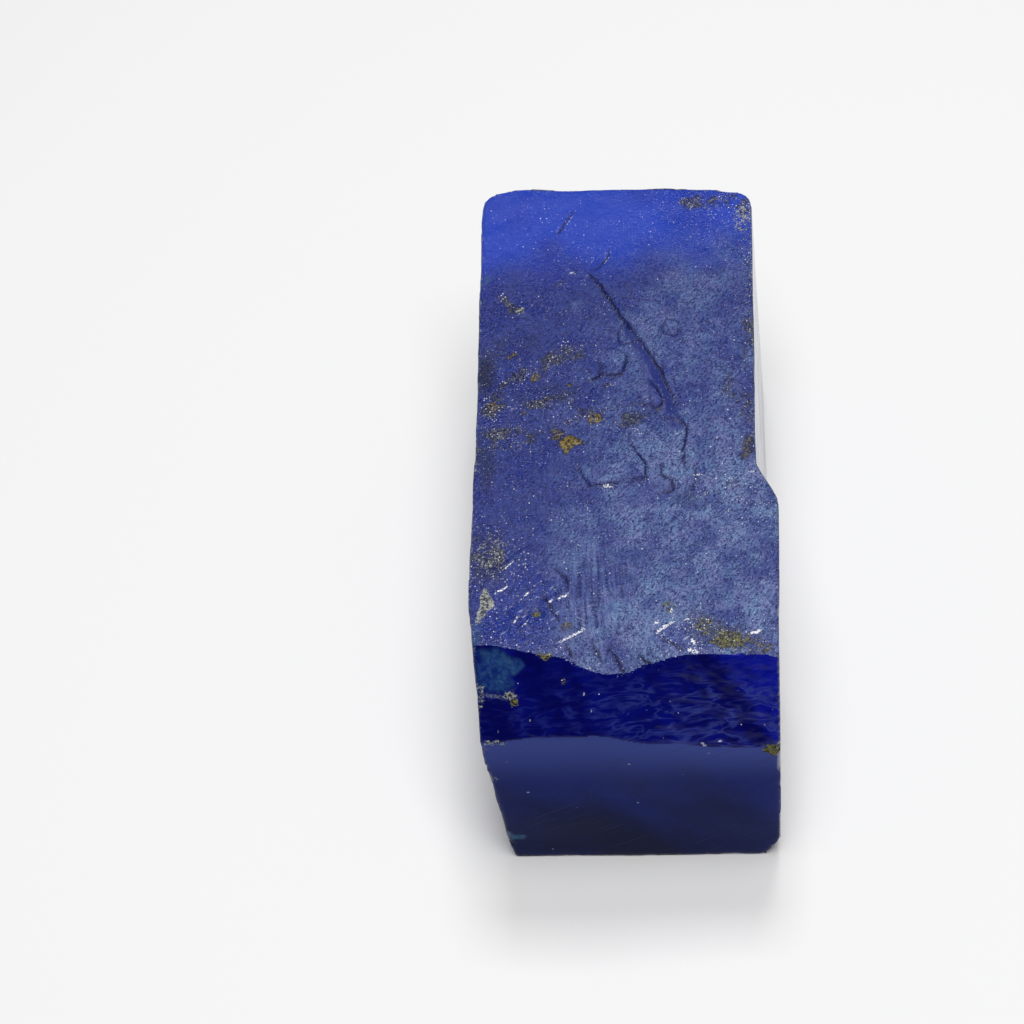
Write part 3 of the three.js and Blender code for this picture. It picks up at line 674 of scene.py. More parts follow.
class NodeBoard:
    """Adds nodes to one node tree and joins them up. A source is a socket or a plain value."""

    def __init__(self, tree: bpy.types.NodeTree) -> None:
        """Starts on a tree, keeping what it holds."""
        self.tree = tree
        self.count = 0

    def add(self, kind: str, **settings: object) -> bpy.types.Node:
        """Adds a node.

        Args:
            kind: the node's type name, without its ShaderNode prefix where it has one.
            **settings: values of the node's own properties.

        Returns:
            The new node.
        """
        node = self.tree.nodes.new(kind if kind.startswith("Node") else "ShaderNode" + kind)
        row, column = divmod(self.count, 12)
        node.location = (220 * column, -260 * row)
        self.count += 1
        for name, value in settings.items():
            setattr(node, name, value)
        return node

    def feed(self, socket: Socket, source: Source) -> None:
        """Links a socket to a source, or sets its value where the source is a plain one.

        Args:
            socket: the input to feed.
            source: another node's output, or a number, a colour or a vector.
        """
        if isinstance(source, bpy.types.NodeSocket):
            self.tree.links.new(source, socket)
        elif socket.type == "RGBA" and isinstance(source, tuple):
            socket.default_value = (*source[:3], 1.0)
        else:
            socket.default_value = source

    def maths(
        self, operation: str, a: Source, b: Source = 0.0, c: Source = 0.0, clamp: bool = False
    ) -> Socket:
        """Works a sum out.

        Args:
            operation: the Math node's name for the sum.
            a: the first number.
            b: the second number.
            c: the third number, where the sum has one.
            clamp: whether the result stays from 0 to 1.

        Returns:
            The result.
        """
        node = self.add("Math", operation=operation, use_clamp=clamp)
        for socket, source in zip(node.inputs, (a, b, c)):
            self.feed(socket, source)
        return node.outputs[0]

    def times(self, a: Source, b: Source, clamp: bool = False) -> Socket:
        """Product of a and b."""
        return self.maths("MULTIPLY", a, b, clamp=clamp)

    def times_plus(self, a: Source, b: Source, c: Source) -> Socket:
        """Product of a and b, with c added."""
        return self.maths("MULTIPLY_ADD", a, b, c)

    def most(self, a: Source, b: Source) -> Socket:
        """The greater of a and b."""
        return self.maths("MAXIMUM", a, b)

    def fit(
        self, source: Source, low: float, high: float, out_low: float = 0.0, out_high: float = 1.0
    ) -> Socket:
        """Eases a number from one range into another.

        Args:
            source: the number.
            low: where its range starts.
            high: where its range ends.
            out_low: the result at low and before it.
            out_high: the result at high and past it.

        Returns:
            The eased number.
        """
        node = self.add("MapRange", interpolation_type="SMOOTHSTEP")
        names = ("Value", "From Min", "From Max", "To Min", "To Max")
        for name, number in zip(names, (source, low, high, out_low, out_high)):
            self.feed(node.inputs[name], number)
        return node.outputs["Result"]

    def blend(self, share: Source, a: Source, b: Source) -> Socket:
        """Mixes two colours.

        Args:
            share: how much of b there is, 0 to 1.
            a: the colour at 0.
            b: the colour at 1.

        Returns:
            The mixed colour.
        """
        node = self.add("Mix", data_type="RGBA")
        self.feed(node.inputs["Factor"], share)
        colours = [socket for socket in node.inputs if socket.type == "RGBA"]
        self.feed(colours[0], a)
        self.feed(colours[1], b)
        return next(socket for socket in node.outputs if socket.type == "RGBA")

    def mark(self, name: str) -> Socket:
        """One of the numbers that the mesh holds on its points."""
        return self.add("Attribute", attribute_name=name).outputs["Fac"]

    def axes(self, place: Source) -> bpy.types.NodeOutputs:
        """The X, Y and Z of a place, by name."""
        node = self.add("SeparateXYZ")
        self.feed(node.inputs["Vector"], place)
        return node.outputs

    def noise(
        self, place: Source, scale: float, detail: float, roughness: float, distortion: float = 0.0
    ) -> Socket:
        """Cloudy noise.

        Args:
            place: the coordinates that it lies on.
            scale: lumps to a unit.
            detail: layers of finer lumps.
            roughness: strength of each finer layer.
            distortion: how far the lumps are pulled about.

        Returns:
            The noise, 0 to 1.
        """
        node = self.add("TexNoise")
        names = ("Vector", "Scale", "Detail", "Roughness", "Distortion")
        for name, source in zip(names, (place, scale, detail, roughness, distortion)):
            self.feed(node.inputs[name], source)
        return node.outputs["Fac"]

    def stretched(self, place: Source, scale: Place, turn: float = 0.0) -> Socket:
        """Turns coordinates and stretches them along the axes.

        Args:
            place: the coordinates.
            scale: how much finer a pattern gets along each axis.
            turn: the turn about Z before that, in degrees.

        Returns:
            The new coordinates.
        """
        spin = self.add("VectorRotate", rotation_type="Z_AXIS")
        self.feed(spin.inputs["Vector"], place)
        self.feed(spin.inputs["Angle"], math.radians(turn))
        node = self.add("Mapping", vector_type="POINT")
        self.feed(node.inputs["Vector"], spin.outputs["Vector"])
        self.feed(node.inputs["Scale"], scale)
        return node.outputs["Vector"]

    def call(self, group: bpy.types.NodeTree, **sources: Source) -> bpy.types.NodeOutputs:
        """Places a node group.

        Args:
            group: the group's own tree.
            **sources: what feeds its inputs, by name.

        Returns:
            Its outputs, by name.
        """
        node = self.add("Group", node_tree=group)
        for name, source in sources.items():
            self.feed(node.inputs[name], source)
        return node.outputs


class EffectGroup(NodeBoard):
    """A shader node group that is being made."""

    def __init__(self, name: str, inputs: dict[str, float | None], outputs: tuple[str, ...]) -> None:
        """Starts the group.

        Args:
            name: the group's name.
            inputs: first value of each input, by name, or None where it takes coordinates.
            outputs: names of the numbers that it gives.
        """
        super().__init__(bpy.data.node_groups.new(name, "ShaderNodeTree"))
        for label, value in inputs.items():
            kind = "NodeSocketVector" if value is None else "NodeSocketFloat"
            socket = self.tree.interface.new_socket(label, in_out="INPUT", socket_type=kind)
            if value is not None:
                socket.default_value = value
        for label in outputs:
            self.tree.interface.new_socket(label, in_out="OUTPUT", socket_type="NodeSocketFloat")
        self.given = self.add("NodeGroupInput").outputs
        self.results = self.add("NodeGroupOutput").inputs


def grain_group() -> bpy.types.NodeTree:
    """Makes the fine weathered grain.

    Returns:
        A group that gives its height for the bump, and two tones for the colours.
    """
    group = EffectGroup("weathered grain", {"Place": None, "Grit": 0.5}, ("Height", "Tone", "Rag"))
    lumps = group.noise(group.given["Place"], 2.2, 3.0, 0.66, 0.5)
    grain = group.noise(group.given["Place"], 6.6, 2.0, 0.75)
    body = group.times_plus(lumps, 0.4, grain)
    group.feed(group.results["Height"], group.times(body, group.times_plus(group.given["Grit"], 0.8, 0.2)))
    group.feed(group.results["Tone"], grain)
    group.feed(group.results["Rag"], lumps)
    return group.tree


def painted_glint_group() -> bpy.types.NodeTree:
    """Makes tiny bright points, painted glints of crystal facets, each with its own size and brightness.

    Returns:
        A group that gives their mask, with more of them where Density is high.
    """
    group = EffectGroup("painted crystal glints", {"Place": None, "Density": 0.1, "Size": 5.0}, ("Mask",))
    cells = group.add("TexVoronoi", feature="F1")
    group.feed(cells.inputs["Vector"], group.given["Place"])
    group.feed(cells.inputs["Scale"], group.given["Size"])
    draw = group.add("SeparateColor")
    group.feed(draw.inputs["Color"], cells.outputs["Color"])
    chosen = group.maths("LESS_THAN", draw.outputs["Red"], group.given["Density"])
    reach = group.times_plus(draw.outputs["Blue"], 0.34, 0.14)
    share = group.maths("DIVIDE", cells.outputs["Distance"], reach)
    core = group.maths("SUBTRACT", 1.0, share, clamp=True)
    level = group.times_plus(draw.outputs["Green"], 0.9, 0.1)
    shown = group.times(group.fit(core, 0.1, 0.6), chosen)
    group.feed(group.results["Mask"], group.times(shown, level))
    return group.tree


def fleck_group() -> bpy.types.NodeTree:
    """Makes a mineral patch with a ragged, grainy rim in place of the smooth mark that it grows from.

    Returns:
        A group that gives the patch's mask.
    """
    group = EffectGroup("ragged fleck", {"Presence": 0.0, "Rag": 0.5, "Grain": 0.5}, ("Mask",))
    presence = group.given["Presence"]
    noise = group.times_plus(group.given["Rag"], 1.1, group.times(group.given["Grain"], 1.5))
    reach = group.maths("ADD", presence, group.maths("SUBTRACT", noise, 1.3))
    shown = group.fit(reach, 0.42, 0.6)
    group.feed(group.results["Mask"], group.times(shown, group.fit(presence, 0.02, 0.2)))
    return group.tree


@dataclass
class EffectKit:
    """The node groups that the finishes share."""

    grain: bpy.types.NodeTree = field(default_factory=grain_group)
    painted_glints: bpy.types.NodeTree = field(default_factory=painted_glint_group)
    fleck: bpy.types.NodeTree = field(default_factory=fleck_group)


@dataclass(frozen=True)
class MineralColours:
    """Colours of the minerals that show in more than one finish."""

    ochre_dark: Colour = (0.018, 0.015, 0.012)
    ochre_light: Colour = (0.26, 0.19, 0.04)
    olive_dark: Colour = (0.008, 0.009, 0.012)
    olive_light: Colour = (0.17, 0.16, 0.055)
    crust_dark: Colour = (0.016, 0.018, 0.03)
    crust_light: Colour = (0.34, 0.36, 0.34)
    chip_dark: Colour = (0.006, 0.008, 0.035)
    chip_light: Colour = (0.20, 0.24, 0.34)
    teal_deep: Colour = (0.003, 0.016, 0.14)
    teal_pale: Colour = (0.030, 0.092, 0.20)
    # White is also the colour of the painted glints and painted highlight streaks.
    white: Colour = (0.85, 0.87, 0.92)


MINERALS = MineralColours()


@dataclass(frozen=True)
class Finish:
    """The plain numbers that every finish of the stone has. Its colours and patterns are in its own class."""

    name: str
    roughness: float
    specular: float
    bump_depth: float
    ior: float = 1.6


class MaterialBoard(NodeBoard):
    """The board of one finish's material, with the patterns that all of the finishes share."""

    def __init__(self, finish: Finish, kit: EffectKit) -> None:
        """Makes the material, and its coordinates in drawn millimetres.

        Args:
            finish: the finish's plain numbers.
            kit: the shared node groups.
        """
        self.material = bpy.data.materials.new(finish.name)
        self.material.use_nodes = True
        super().__init__(self.material.node_tree)
        self.finish, self.kit = finish, kit
        self.shader = self.tree.nodes["Principled BSDF"].inputs
        self.shader["Roughness"].default_value = finish.roughness
        self.shader["Specular IOR Level"].default_value = finish.specular
        self.shader["IOR"].default_value = finish.ior
        placed = self.add("Mapping", vector_type="POINT")
        self.feed(placed.inputs["Vector"], self.add("TexCoord").outputs["Object"])
        self.feed(placed.inputs["Scale"], (1 / MM,) * 3)
        self.feed(placed.inputs["Location"], DRAWN_CENTRE)
        self.place = placed.outputs["Vector"]
        self.patchy, self.cloud = self.mark("patchy"), self.mark("cloud")

    def use_grain(self, grit: Source) -> None:
        """Adds the weathered grain, which the rims of the minerals follow too."""
        self.grain = self.call(self.kit.grain, Place=self.place, Grit=grit)

    def fleck(self, mark: Source) -> Socket:
        """Ragged mask of a smooth mark."""
        rag, tone = self.grain["Rag"], self.grain["Tone"]
        return self.call(self.kit.fleck, Presence=mark, Rag=rag, Grain=tone)["Mask"]

    def points(self, density: Source, size: float, place: Source | None = None) -> Socket:
        """Mask of tiny points painted as crystal glints, with size places for them to a millimetre."""
        on = self.place if place is None else place
        return self.call(self.kit.painted_glints, Place=on, Density=density, Size=size)["Mask"]

    def minerals(self, colour: Source) -> Socket:
        """Lays edge chips, crust, olive, ochre and pale pin points over the stone's own colour.

        Args:
            colour: the stone's own colour.

        Returns:
            The colour with the minerals on it.
        """
        tone = self.fit(self.noise(self.place, 4.2, 2.0, 0.7), 0.38, 0.6)
        for mark, dark, light in (
            ("edge", MINERALS.chip_dark, MINERALS.chip_light),
            ("crust", MINERALS.crust_dark, MINERALS.crust_light),
            ("olive", MINERALS.olive_dark, MINERALS.olive_light),
            ("ochre", MINERALS.ochre_dark, MINERALS.ochre_light),
        ):
            colour = self.blend(self.fleck(self.mark(mark)), colour, self.blend(tone, dark, light))
        return self.blend(self.fit(self.mark("pin"), 0.3, 0.9, 0.0, 0.8), colour, MINERALS.white)

    def finished(self, colour: Source, roughness: Source, height: Source) -> bpy.types.Material:
        """Feeds the shader.

        Args:
            colour: the base colour.
            roughness: the roughness.
            height: the fine relief that the bump takes, as shares of the finish's bump depth.

        Returns:
            The finished material.
        """
        bump = self.add("Bump")
        self.feed(bump.inputs["Strength"], 1.0)
        self.feed(bump.inputs["Distance"], self.finish.bump_depth * MM)
        self.feed(bump.inputs["Height"], height)
        self.feed(self.shader["Base Color"], colour)
        self.feed(self.shader["Roughness"], roughness)
        self.feed(self.shader["Normal"], bump.outputs["Normal"])
        return self.material


@dataclass(frozen=True)
class WornTop(Finish):
    """Satin natural skin of the top: ultramarine under a pale frosted grain whose paleness is partly painted
    sheen, with painted glints and cracks partly darkened by painted shade, cobalt at the far end.
    """

    name: str = "worn blue skin"
    roughness: float = 0.38
    specular: float = 0.3
    bump_depth: float = 0.12
    deep: Colour = (0.003, 0.007, 0.095)
    body: Colour = (0.011, 0.025, 0.235)
    vivid: Colour = (0.007, 0.028, 0.27)
    # Frost colours: a pale frosted grain, partly painted sheen of the light.
    frost_sheen_cool: Colour = (0.138, 0.226, 0.42)
    frost_sheen_warm: Colour = (0.170, 0.207, 0.415)
    cobalt_deep: Colour = (0.006, 0.018, 0.25)
    cobalt_bright: Colour = (0.010, 0.048, 0.46)
    dusk: Colour = (0.004, 0.007, 0.045)
    grit: Colour = (0.10, 0.097, 0.085)
    # Colour of the cracks, partly painted shade in the creases.
    crack_and_painted_shade: Colour = (0.002, 0.003, 0.05)
    # Colour of the painted glints.
    painted_glint: Colour = (0.40, 0.46, 0.66)
    smooth: Colour = (0.026, 0.038, 0.19)
    stroke_stretch: Place = (5.6, 2.6, 5.6)
    stroke_turn: float = 34.0
    furrow_stretch: Place = (4.2, 0.3, 4.2)
    furrow_turn: float = -4.0
    glints_per_mm: float = 7.0
    points_per_mm: float = 5.6
    dashes_per_mm: float = 3.4
    dash_density: float = 0.3
    dash_stretch: Place = (1.0, 0.3, 1.0)
    dash_turn: float = 56.0

    def calm(self, board: MaterialBoard) -> Socket:
        """Works out the share of the grain: less on seams, smooth slopes, the far end and glossy breaks.

        Args:
            board: the material's board.

        Returns:
            The share of the grain, 0 to 1.
        """
        cover = board.most(board.times(board.mark("crack_and_painted_shade"), 0.85), board.times(board.mark("cobalt"), 0.4))
        cover = board.most(cover, board.times(board.mark("smooth"), 0.85))
        cover = board.most(cover, board.times(board.mark("glossy"), 0.25))
        return board.maths("SUBTRACT", 1.0, cover)

    def strokes(self, board: MaterialBoard) -> Socket:
        """Makes the short slanted strokes of the skin, which turn into long furrows where the striations are.

        Args:
            board: the material's board.

        Returns:
            The strokes, 0 to 1.
        """
        on_strokes = board.stretched(board.place, self.stroke_stretch, self.stroke_turn)
        slanted = board.noise(on_strokes, 1.0, 2.0, 0.65)
        on_furrows = board.stretched(board.place, self.furrow_stretch, self.furrow_turn)
        furrows = board.noise(on_furrows, 1.0, 2.0, 0.55)
        change = board.times(board.maths("SUBTRACT", furrows, slanted), board.mark("striae"))
        return board.maths("ADD", slanted, change)

    def skin(self, board: MaterialBoard, strokes: Socket, calm: Socket) -> Socket:
        """Mixes the blue of the skin and the frost on it, whose paleness is partly painted sheen.

        Args:
            board: the material's board.
            strokes: the pattern of the strokes.
            calm: the share of the grain.

        Returns:
            The colour.
        """
        glossy = board.mark("glossy")
        mixed = board.times_plus(strokes, 0.45, board.times(board.grain["Tone"], 0.55))
        colour = board.blend(board.fit(mixed, 0.38, 0.60), self.deep, self.body)
        vivid = board.blend(board.fit(mixed, 0.40, 0.56), self.deep, self.vivid)
        colour = board.blend(board.times(glossy, 0.9), colour, vivid)
        mood = board.fit(board.noise(board.place, 0.8, 3.0, 0.6), 0.36, 0.64)
        frost_sheen_colour = board.blend(mood, self.frost_sheen_warm, self.frost_sheen_cool)
        share = board.times(board.fit(mixed, 0.36, 0.64), board.fit(board.patchy, 0.2, 0.76, 0.32, 1.04))
        share = board.times(board.times(share, calm), board.mark("frost_and_sheen"), clamp=True)
        share = board.times(share, board.fit(glossy, 0.1, 0.8, 1.0, 0.35))
        # Lays the pale frost over the blue; its paleness is partly painted sheen.
        colour = board.blend(share, colour, frost_sheen_colour)
        return board.blend(board.times(board.mark("smooth"), 0.75), colour, self.smooth)

    def tinted(self, board: MaterialBoard, colour: Socket) -> Socket:
        """Lays the cobalt far end, dusky patches, gritty bands, dark cracks that are partly painted shade,
        and teal over the skin.

        Args:
            board: the material's board.
            colour: the skin's colour.

        Returns:
            The new colour.
        """
        tone = board.grain["Tone"]
        depth = board.fit(board.times_plus(board.cloud, 0.6, board.times(tone, 0.4)), 0.34, 0.62)
        cobalt = board.blend(depth, self.cobalt_deep, self.cobalt_bright)
        colour = board.blend(board.times(board.mark("cobalt"), 0.92), colour, cobalt)
        shade = board.times(board.mark("dusk"), board.fit(board.patchy, 0.3, 0.7, 0.3, 0.9))
        colour = board.blend(shade, colour, self.dusk)
        halo = board.maths("MINIMUM", board.times(board.mark("ochre"), 2.4), 0.72)
        bands = board.fleck(board.most(board.times(board.mark("band"), 0.78), halo))
        speck = board.fit(board.noise(board.place, 5.2, 2.0, 0.75), 0.5, 0.62)
        colour = board.blend(board.times(bands, 0.88), colour, board.blend(speck, self.dusk, self.grit))
        # Darkens the cracks: partly their own dark fill, partly painted shade in the creases.
        colour = board.blend(board.times(board.mark("crack_and_painted_shade"), 1.7, clamp=True), colour, self.crack_and_painted_shade)
        teal = board.times(board.mark("teal"), board.fit(board.patchy, 0.1, 0.7, 0.4, 0.9))
        return board.blend(teal, colour, MINERALS.teal_pale)

    def glinting(self, board: MaterialBoard, colour: Socket) -> Socket:
        """Scatters painted highlights on the top: fine glints, white points, slanted dashes and the bright
        streaks.

        Args:
            board: the material's board.
            colour: the colour under them.

        Returns:
            The new colour.
        """
        painted_glints = board.mark("painted_glints")
        crowd = board.times_plus(painted_glints, 0.4, board.times_plus(board.mark("frost_and_sheen"), 0.2, 0.15))
        colour = board.blend(board.points(crowd, self.glints_per_mm), colour, self.painted_glint)
        density = board.times_plus(board.mark("band"), 0.3, board.times_plus(painted_glints, 0.36, 0.04))
        colour = board.blend(board.points(density, self.points_per_mm), colour, MINERALS.white)
        on_dashes = board.stretched(board.place, self.dash_stretch, self.dash_turn)
        dashes = board.points(self.dash_density, self.dashes_per_mm, on_dashes)
        shine = board.times(dashes, board.fit(board.mark("glossy"), 0.2, 0.7, 0.0, 0.75))
        colour = board.blend(shine, colour, self.painted_glint)
        # The streaks are painted highlights.
        painted_highlight_streak = board.times(board.mark("painted_highlight_streak"), board.fit(board.grain["Tone"], 0.42, 0.54, 0.1, 1.3))
        return board.blend(board.fit(painted_highlight_streak, 0.25, 0.65), colour, MINERALS.white)

    def build(self, kit: EffectKit) -> bpy.types.Material:
        """Makes the material.

        Args:
            kit: the shared node groups.

        Returns:
            The material.
        """
        board = MaterialBoard(self, kit)
        calm = self.calm(board)
        board.use_grain(calm)
        strokes = self.strokes(board)
        colour = self.tinted(board, self.skin(board, strokes, calm))
        colour = self.glinting(board, board.minerals(colour))
        dull = board.times_plus(board.mark("frost_and_sheen"), 0.14, self.roughness - 0.2)
        dull = board.times_plus(board.patchy, 0.16, dull)
        even = board.most(board.mark("glossy"), board.times(board.mark("cobalt"), 0.4))
        height = board.times_plus(board.times(strokes, calm), 0.5, board.grain["Height"])
        return board.finished(colour, board.times_plus(even, -0.2, dull), height)


@dataclass(frozen=True)
class GlossyBreak(Finish):
    """Fresh broken face: deep ultramarine glass with a net of paler ripples painted as the table's
    reflection, pale pin-point inclusions and painted glints.
    """

    name: str = "glossy blue break"
    roughness: float = 0.16
    specular: float = 0.09
    bump_depth: float = 0.035
    deep: Colour = (0.0006, 0.001, 0.070)
    body: Colour = (0.001, 0.003, 0.138)
    bright: Colour = (0.002, 0.006, 0.28)
    # Colour of the ripple net, a painted reflection of the table.
    ripple: Colour = (0.030, 0.045, 0.23)
    ripple_stretch: Place = (0.36, 1.25, 1.25)
    ripple_turn: float = -6.0
    ripple_width: float = 0.085
    grit: float = 0.2
    point_density: float = 0.009
    points_per_mm: float = 5.0

    def glass(self, board: MaterialBoard, waves: Socket) -> Socket:
        """Mixes the deep blue, brighter to the right, and the net of ripples painted as the table's
        reflection, stronger there and low down.

        Args:
            board: the material's board.
            waves: the pattern of the ripples.

        Returns:
            The colour.
        """
        axes = board.axes(board.place)
        shade = board.times_plus(board.patchy, 0.5, board.times(board.cloud, 0.5))
        lit = board.blend(board.fit(axes["X"], 0.0, 9.5), self.body, self.bright)
        colour = board.blend(board.fit(shade, 0.3, 0.72), self.deep, lit)
        off = board.maths("ABSOLUTE", board.maths("SUBTRACT", waves, 0.5))
        # Painted reflection: the pale net where the ripples mirror the table.
        painted_reflection_net = board.fit(off, 0.0, self.ripple_width, 1.0, 0.0)
        reach = board.fit(axes["X"], -9.0, 4.0, 0.25, 0.85)
        reach = board.times(reach, board.fit(axes["Z"], 23.6, 26.4, 1.0, 0.2))
        painted_reflection_net = board.times(board.times(painted_reflection_net, reach), board.fit(board.patchy, 0.35, 0.8, 0.1, 1.0))
        return board.blend(painted_reflection_net, colour, self.ripple)

    def with_teal(self, board: MaterialBoard, colour: Socket) -> Socket:
        """Lays the teal patch on the glass, with a pale grainy rim along its lower edge.

        Args:
            board: the material's board.
            colour: the glass's colour.

        Returns:
            The new colour.
        """
        mark = board.mark("teal")
        pool = board.times(board.fit(mark, 0.15, 0.75), board.fit(board.patchy, 0.0, 0.9, 0.75, 1.0))
        depth = board.fit(board.times_plus(board.cloud, 0.3, board.times(board.grain["Rag"], 0.7)), 0.3, 0.7)
        colour = board.blend(pool, colour, board.blend(depth, MINERALS.teal_deep, MINERALS.teal_pale))
        rim = board.times(board.fit(mark, 0.03, 0.12), board.fit(mark, 0.16, 0.34, 1.0, 0.0))
        rim = board.times(rim, board.fit(board.grain["Tone"], 0.42, 0.6, 0.1, 0.8))
        rim = board.times(rim, board.fit(board.axes(board.place)["Z"], 23.9, 25.2, 0.8, 0.0))
        return board.blend(rim, colour, MINERALS.chip_light)

    def build(self, kit: EffectKit) -> bpy.types.Material:
        """Makes the material.

        Args:
            kit: the shared node groups.

        Returns:
            The material.
        """
        board = MaterialBoard(self, kit)
        board.use_grain(self.grit)
        on_ripples = board.stretched(board.place, self.ripple_stretch, self.ripple_turn)
        waves = board.noise(on_ripples, 1.0, 4.0, 0.5, 1.0)
        colour = board.minerals(self.with_teal(board, self.glass(board, waves)))
        points = board.points(self.point_density, self.points_per_mm)
        colour = board.blend(points, colour, MINERALS.white)
        roughness = board.times_plus(board.patchy, 0.16, self.roughness - 0.08)
        return board.finished(colour, roughness, board.times_plus(board.grain["Rag"], 0.4, waves))


@dataclass(frozen=True)
class SawnFace(Finish):
    """Smooth sawn face: dark blue, faintly clouded, paler towards its top and darker towards its foot as
    painted reflection of the table, with scratches and specks.
    """

    name: str = "sawn blue face"
    roughness: float = 0.2
    specular: float = 0.1
    bump_depth: float = 0.004
    ior: float = 1.2
    deep: Colour = (0.001, 0.004, 0.042)
    body: Colour = (0.003, 0.014, 0.15)
    scratch: Colour = (0.02, 0.03, 0.10)
    # Paler blue towards the top: painted reflection of the lit table.
    painted_reflection: Colour = (0.049, 0.078, 0.345)
    scratch_tilt: float = 38.0
    scratch_stretch: Place = (0.12, 0.5, 5.0)
    grit: float = 0.3
    point_density: float = 0.008
    points_per_mm: float = 2.4
    point_strength: float = 0.35

    def scratches(self, board: MaterialBoard) -> Socket:
        """Makes the long saw scratches.

        Args:
            board: the material's board.

        Returns:
            The pattern of the scratches, 0 to 1.
        """
        tilted = board.add("VectorRotate", rotation_type="Y_AXIS")
        board.feed(tilted.inputs["Vector"], board.place)
        board.feed(tilted.inputs["Angle"], math.radians(self.scratch_tilt))
        return board.noise(board.stretched(tilted.outputs["Vector"], self.scratch_stretch), 1.0, 2.0, 0.6)

    def blue(self, board: MaterialBoard) -> Socket:
        """Mixes the clouded blue, brighter to the right, and the paler blue towards the top; the change with
        height is painted reflection of the table, darker near the foot.

        Args:
            board: the material's board.

        Returns:
            The colour.
        """
        axes = board.axes(board.place)
        # Painted reflection: darker low down, where the face mirrors the table in its shadow.
        rise = board.maths("SUBTRACT", board.fit(axes["Z"], 0.0, 21.0, 0.25, 0.75), 0.35)
        shade = board.times_plus(board.cloud, 0.5, board.times_plus(board.patchy, 0.2, rise))
        shade = board.maths("ADD", shade, board.fit(axes["X"], 4.5, 11.5, 0.0, 0.26))
        colour = board.blend(board.fit(shade, 0.1, 0.8), self.deep, self.body)
        # Painted reflection: paler towards the top, where the face mirrors the lit table further off.
        upper = board.times(board.fit(axes["Z"], 13.5, 21.5), board.fit(axes["X"], -4.0, 11.0, 0.72, 1.0))
        return board.blend(upper, colour, self.painted_reflection)

    def build(self, kit: EffectKit) -> bpy.types.Material:
        """Makes the material.

        Args:
            kit: the shared node groups.

        Returns:
            The material.
        """
        board = MaterialBoard(self, kit)
        board.use_grain(self.grit)
        scratches = self.scratches(board)
        colour = board.blend(board.fit(scratches, 0.62, 0.76, 0.0, 0.5), self.blue(board), self.scratch)
        ragged = board.fit(board.grain["Rag"], 0.35, 0.6, 0.3, 1.0)
        teal = board.times(board.fit(board.mark("teal"), 0.1, 0.8), ragged)
        colour = board.minerals(board.blend(teal, colour, MINERALS.teal_pale))
        points = board.times(board.points(self.point_density, self.points_per_mm), self.point_strength)
        colour = board.blend(points, colour, MINERALS.white)
        roughness = board.times_plus(board.patchy, 0.1, self.roughness - 0.05)
        height = board.times_plus(scratches, 0.6, board.times(board.grain["Rag"], 0.5))
        return board.finished(colour, roughness, height)


@dataclass(frozen=True)
class PolishedSide(SawnFace):
    """The right side, sawn as smooth as glass, so that it mirrors the table when it is seen edge on. It keeps
    the sawn face's painted reflection, with its paler band close to the body colour.
    """

    name: str = "polished blue side"
    roughness: float = 0.1
    specular: float = 0.35
    bump_depth: float = 0.0006
    ior: float = 1.6
    painted_reflection: Colour = (0.010, 0.022, 0.18)


@dataclass(frozen=True)
class CleavedSide(Finish):
    """Old cleaved face of the hidden sides: duller blue with grey crust in its hollows."""

    name: str = "cleaved blue side"
    roughness: float = 0.5
    specular: float = 0.4
    bump_depth: float = 0.08
    deep: Colour = (0.004, 0.008, 0.075)
    body: Colour = (0.012, 0.026, 0.20)
    crust: Colour = (0.15, 0.15, 0.15)
    grit: float = 0.8
    point_density: float = 0.03
    points_per_mm: float = 3.8

    def build(self, kit: EffectKit) -> bpy.types.Material:
        """Makes the material.

        Args:
            kit: the shared node groups.

        Returns:
            The material.
        """
        board = MaterialBoard(self, kit)
        board.use_grain(self.grit)
        shade = board.times_plus(board.grain["Tone"], 0.5, board.times(board.cloud, 0.5))
        colour = board.blend(board.fit(shade, 0.34, 0.66), self.deep, self.body)
        dirt = board.fleck(board.fit(board.patchy, 0.52, 0.95, 0.0, 0.8))
        stain = board.fit(board.noise(board.place, 2.6, 4.0, 0.7), 0.36, 0.62)
        stain = board.blend(stain, MINERALS.crust_dark, self.crust)
        colour = board.minerals(board.blend(board.times(dirt, 0.75), colour, stain))
        points = board.points(self.point_density, self.points_per_mm)
        colour = board.blend(points, colour, MINERALS.white)
        roughness = board.times_plus(board.patchy, 0.24, self.roughness - 0.12)
        return board.finished(colour, roughness, board.grain["Height"])


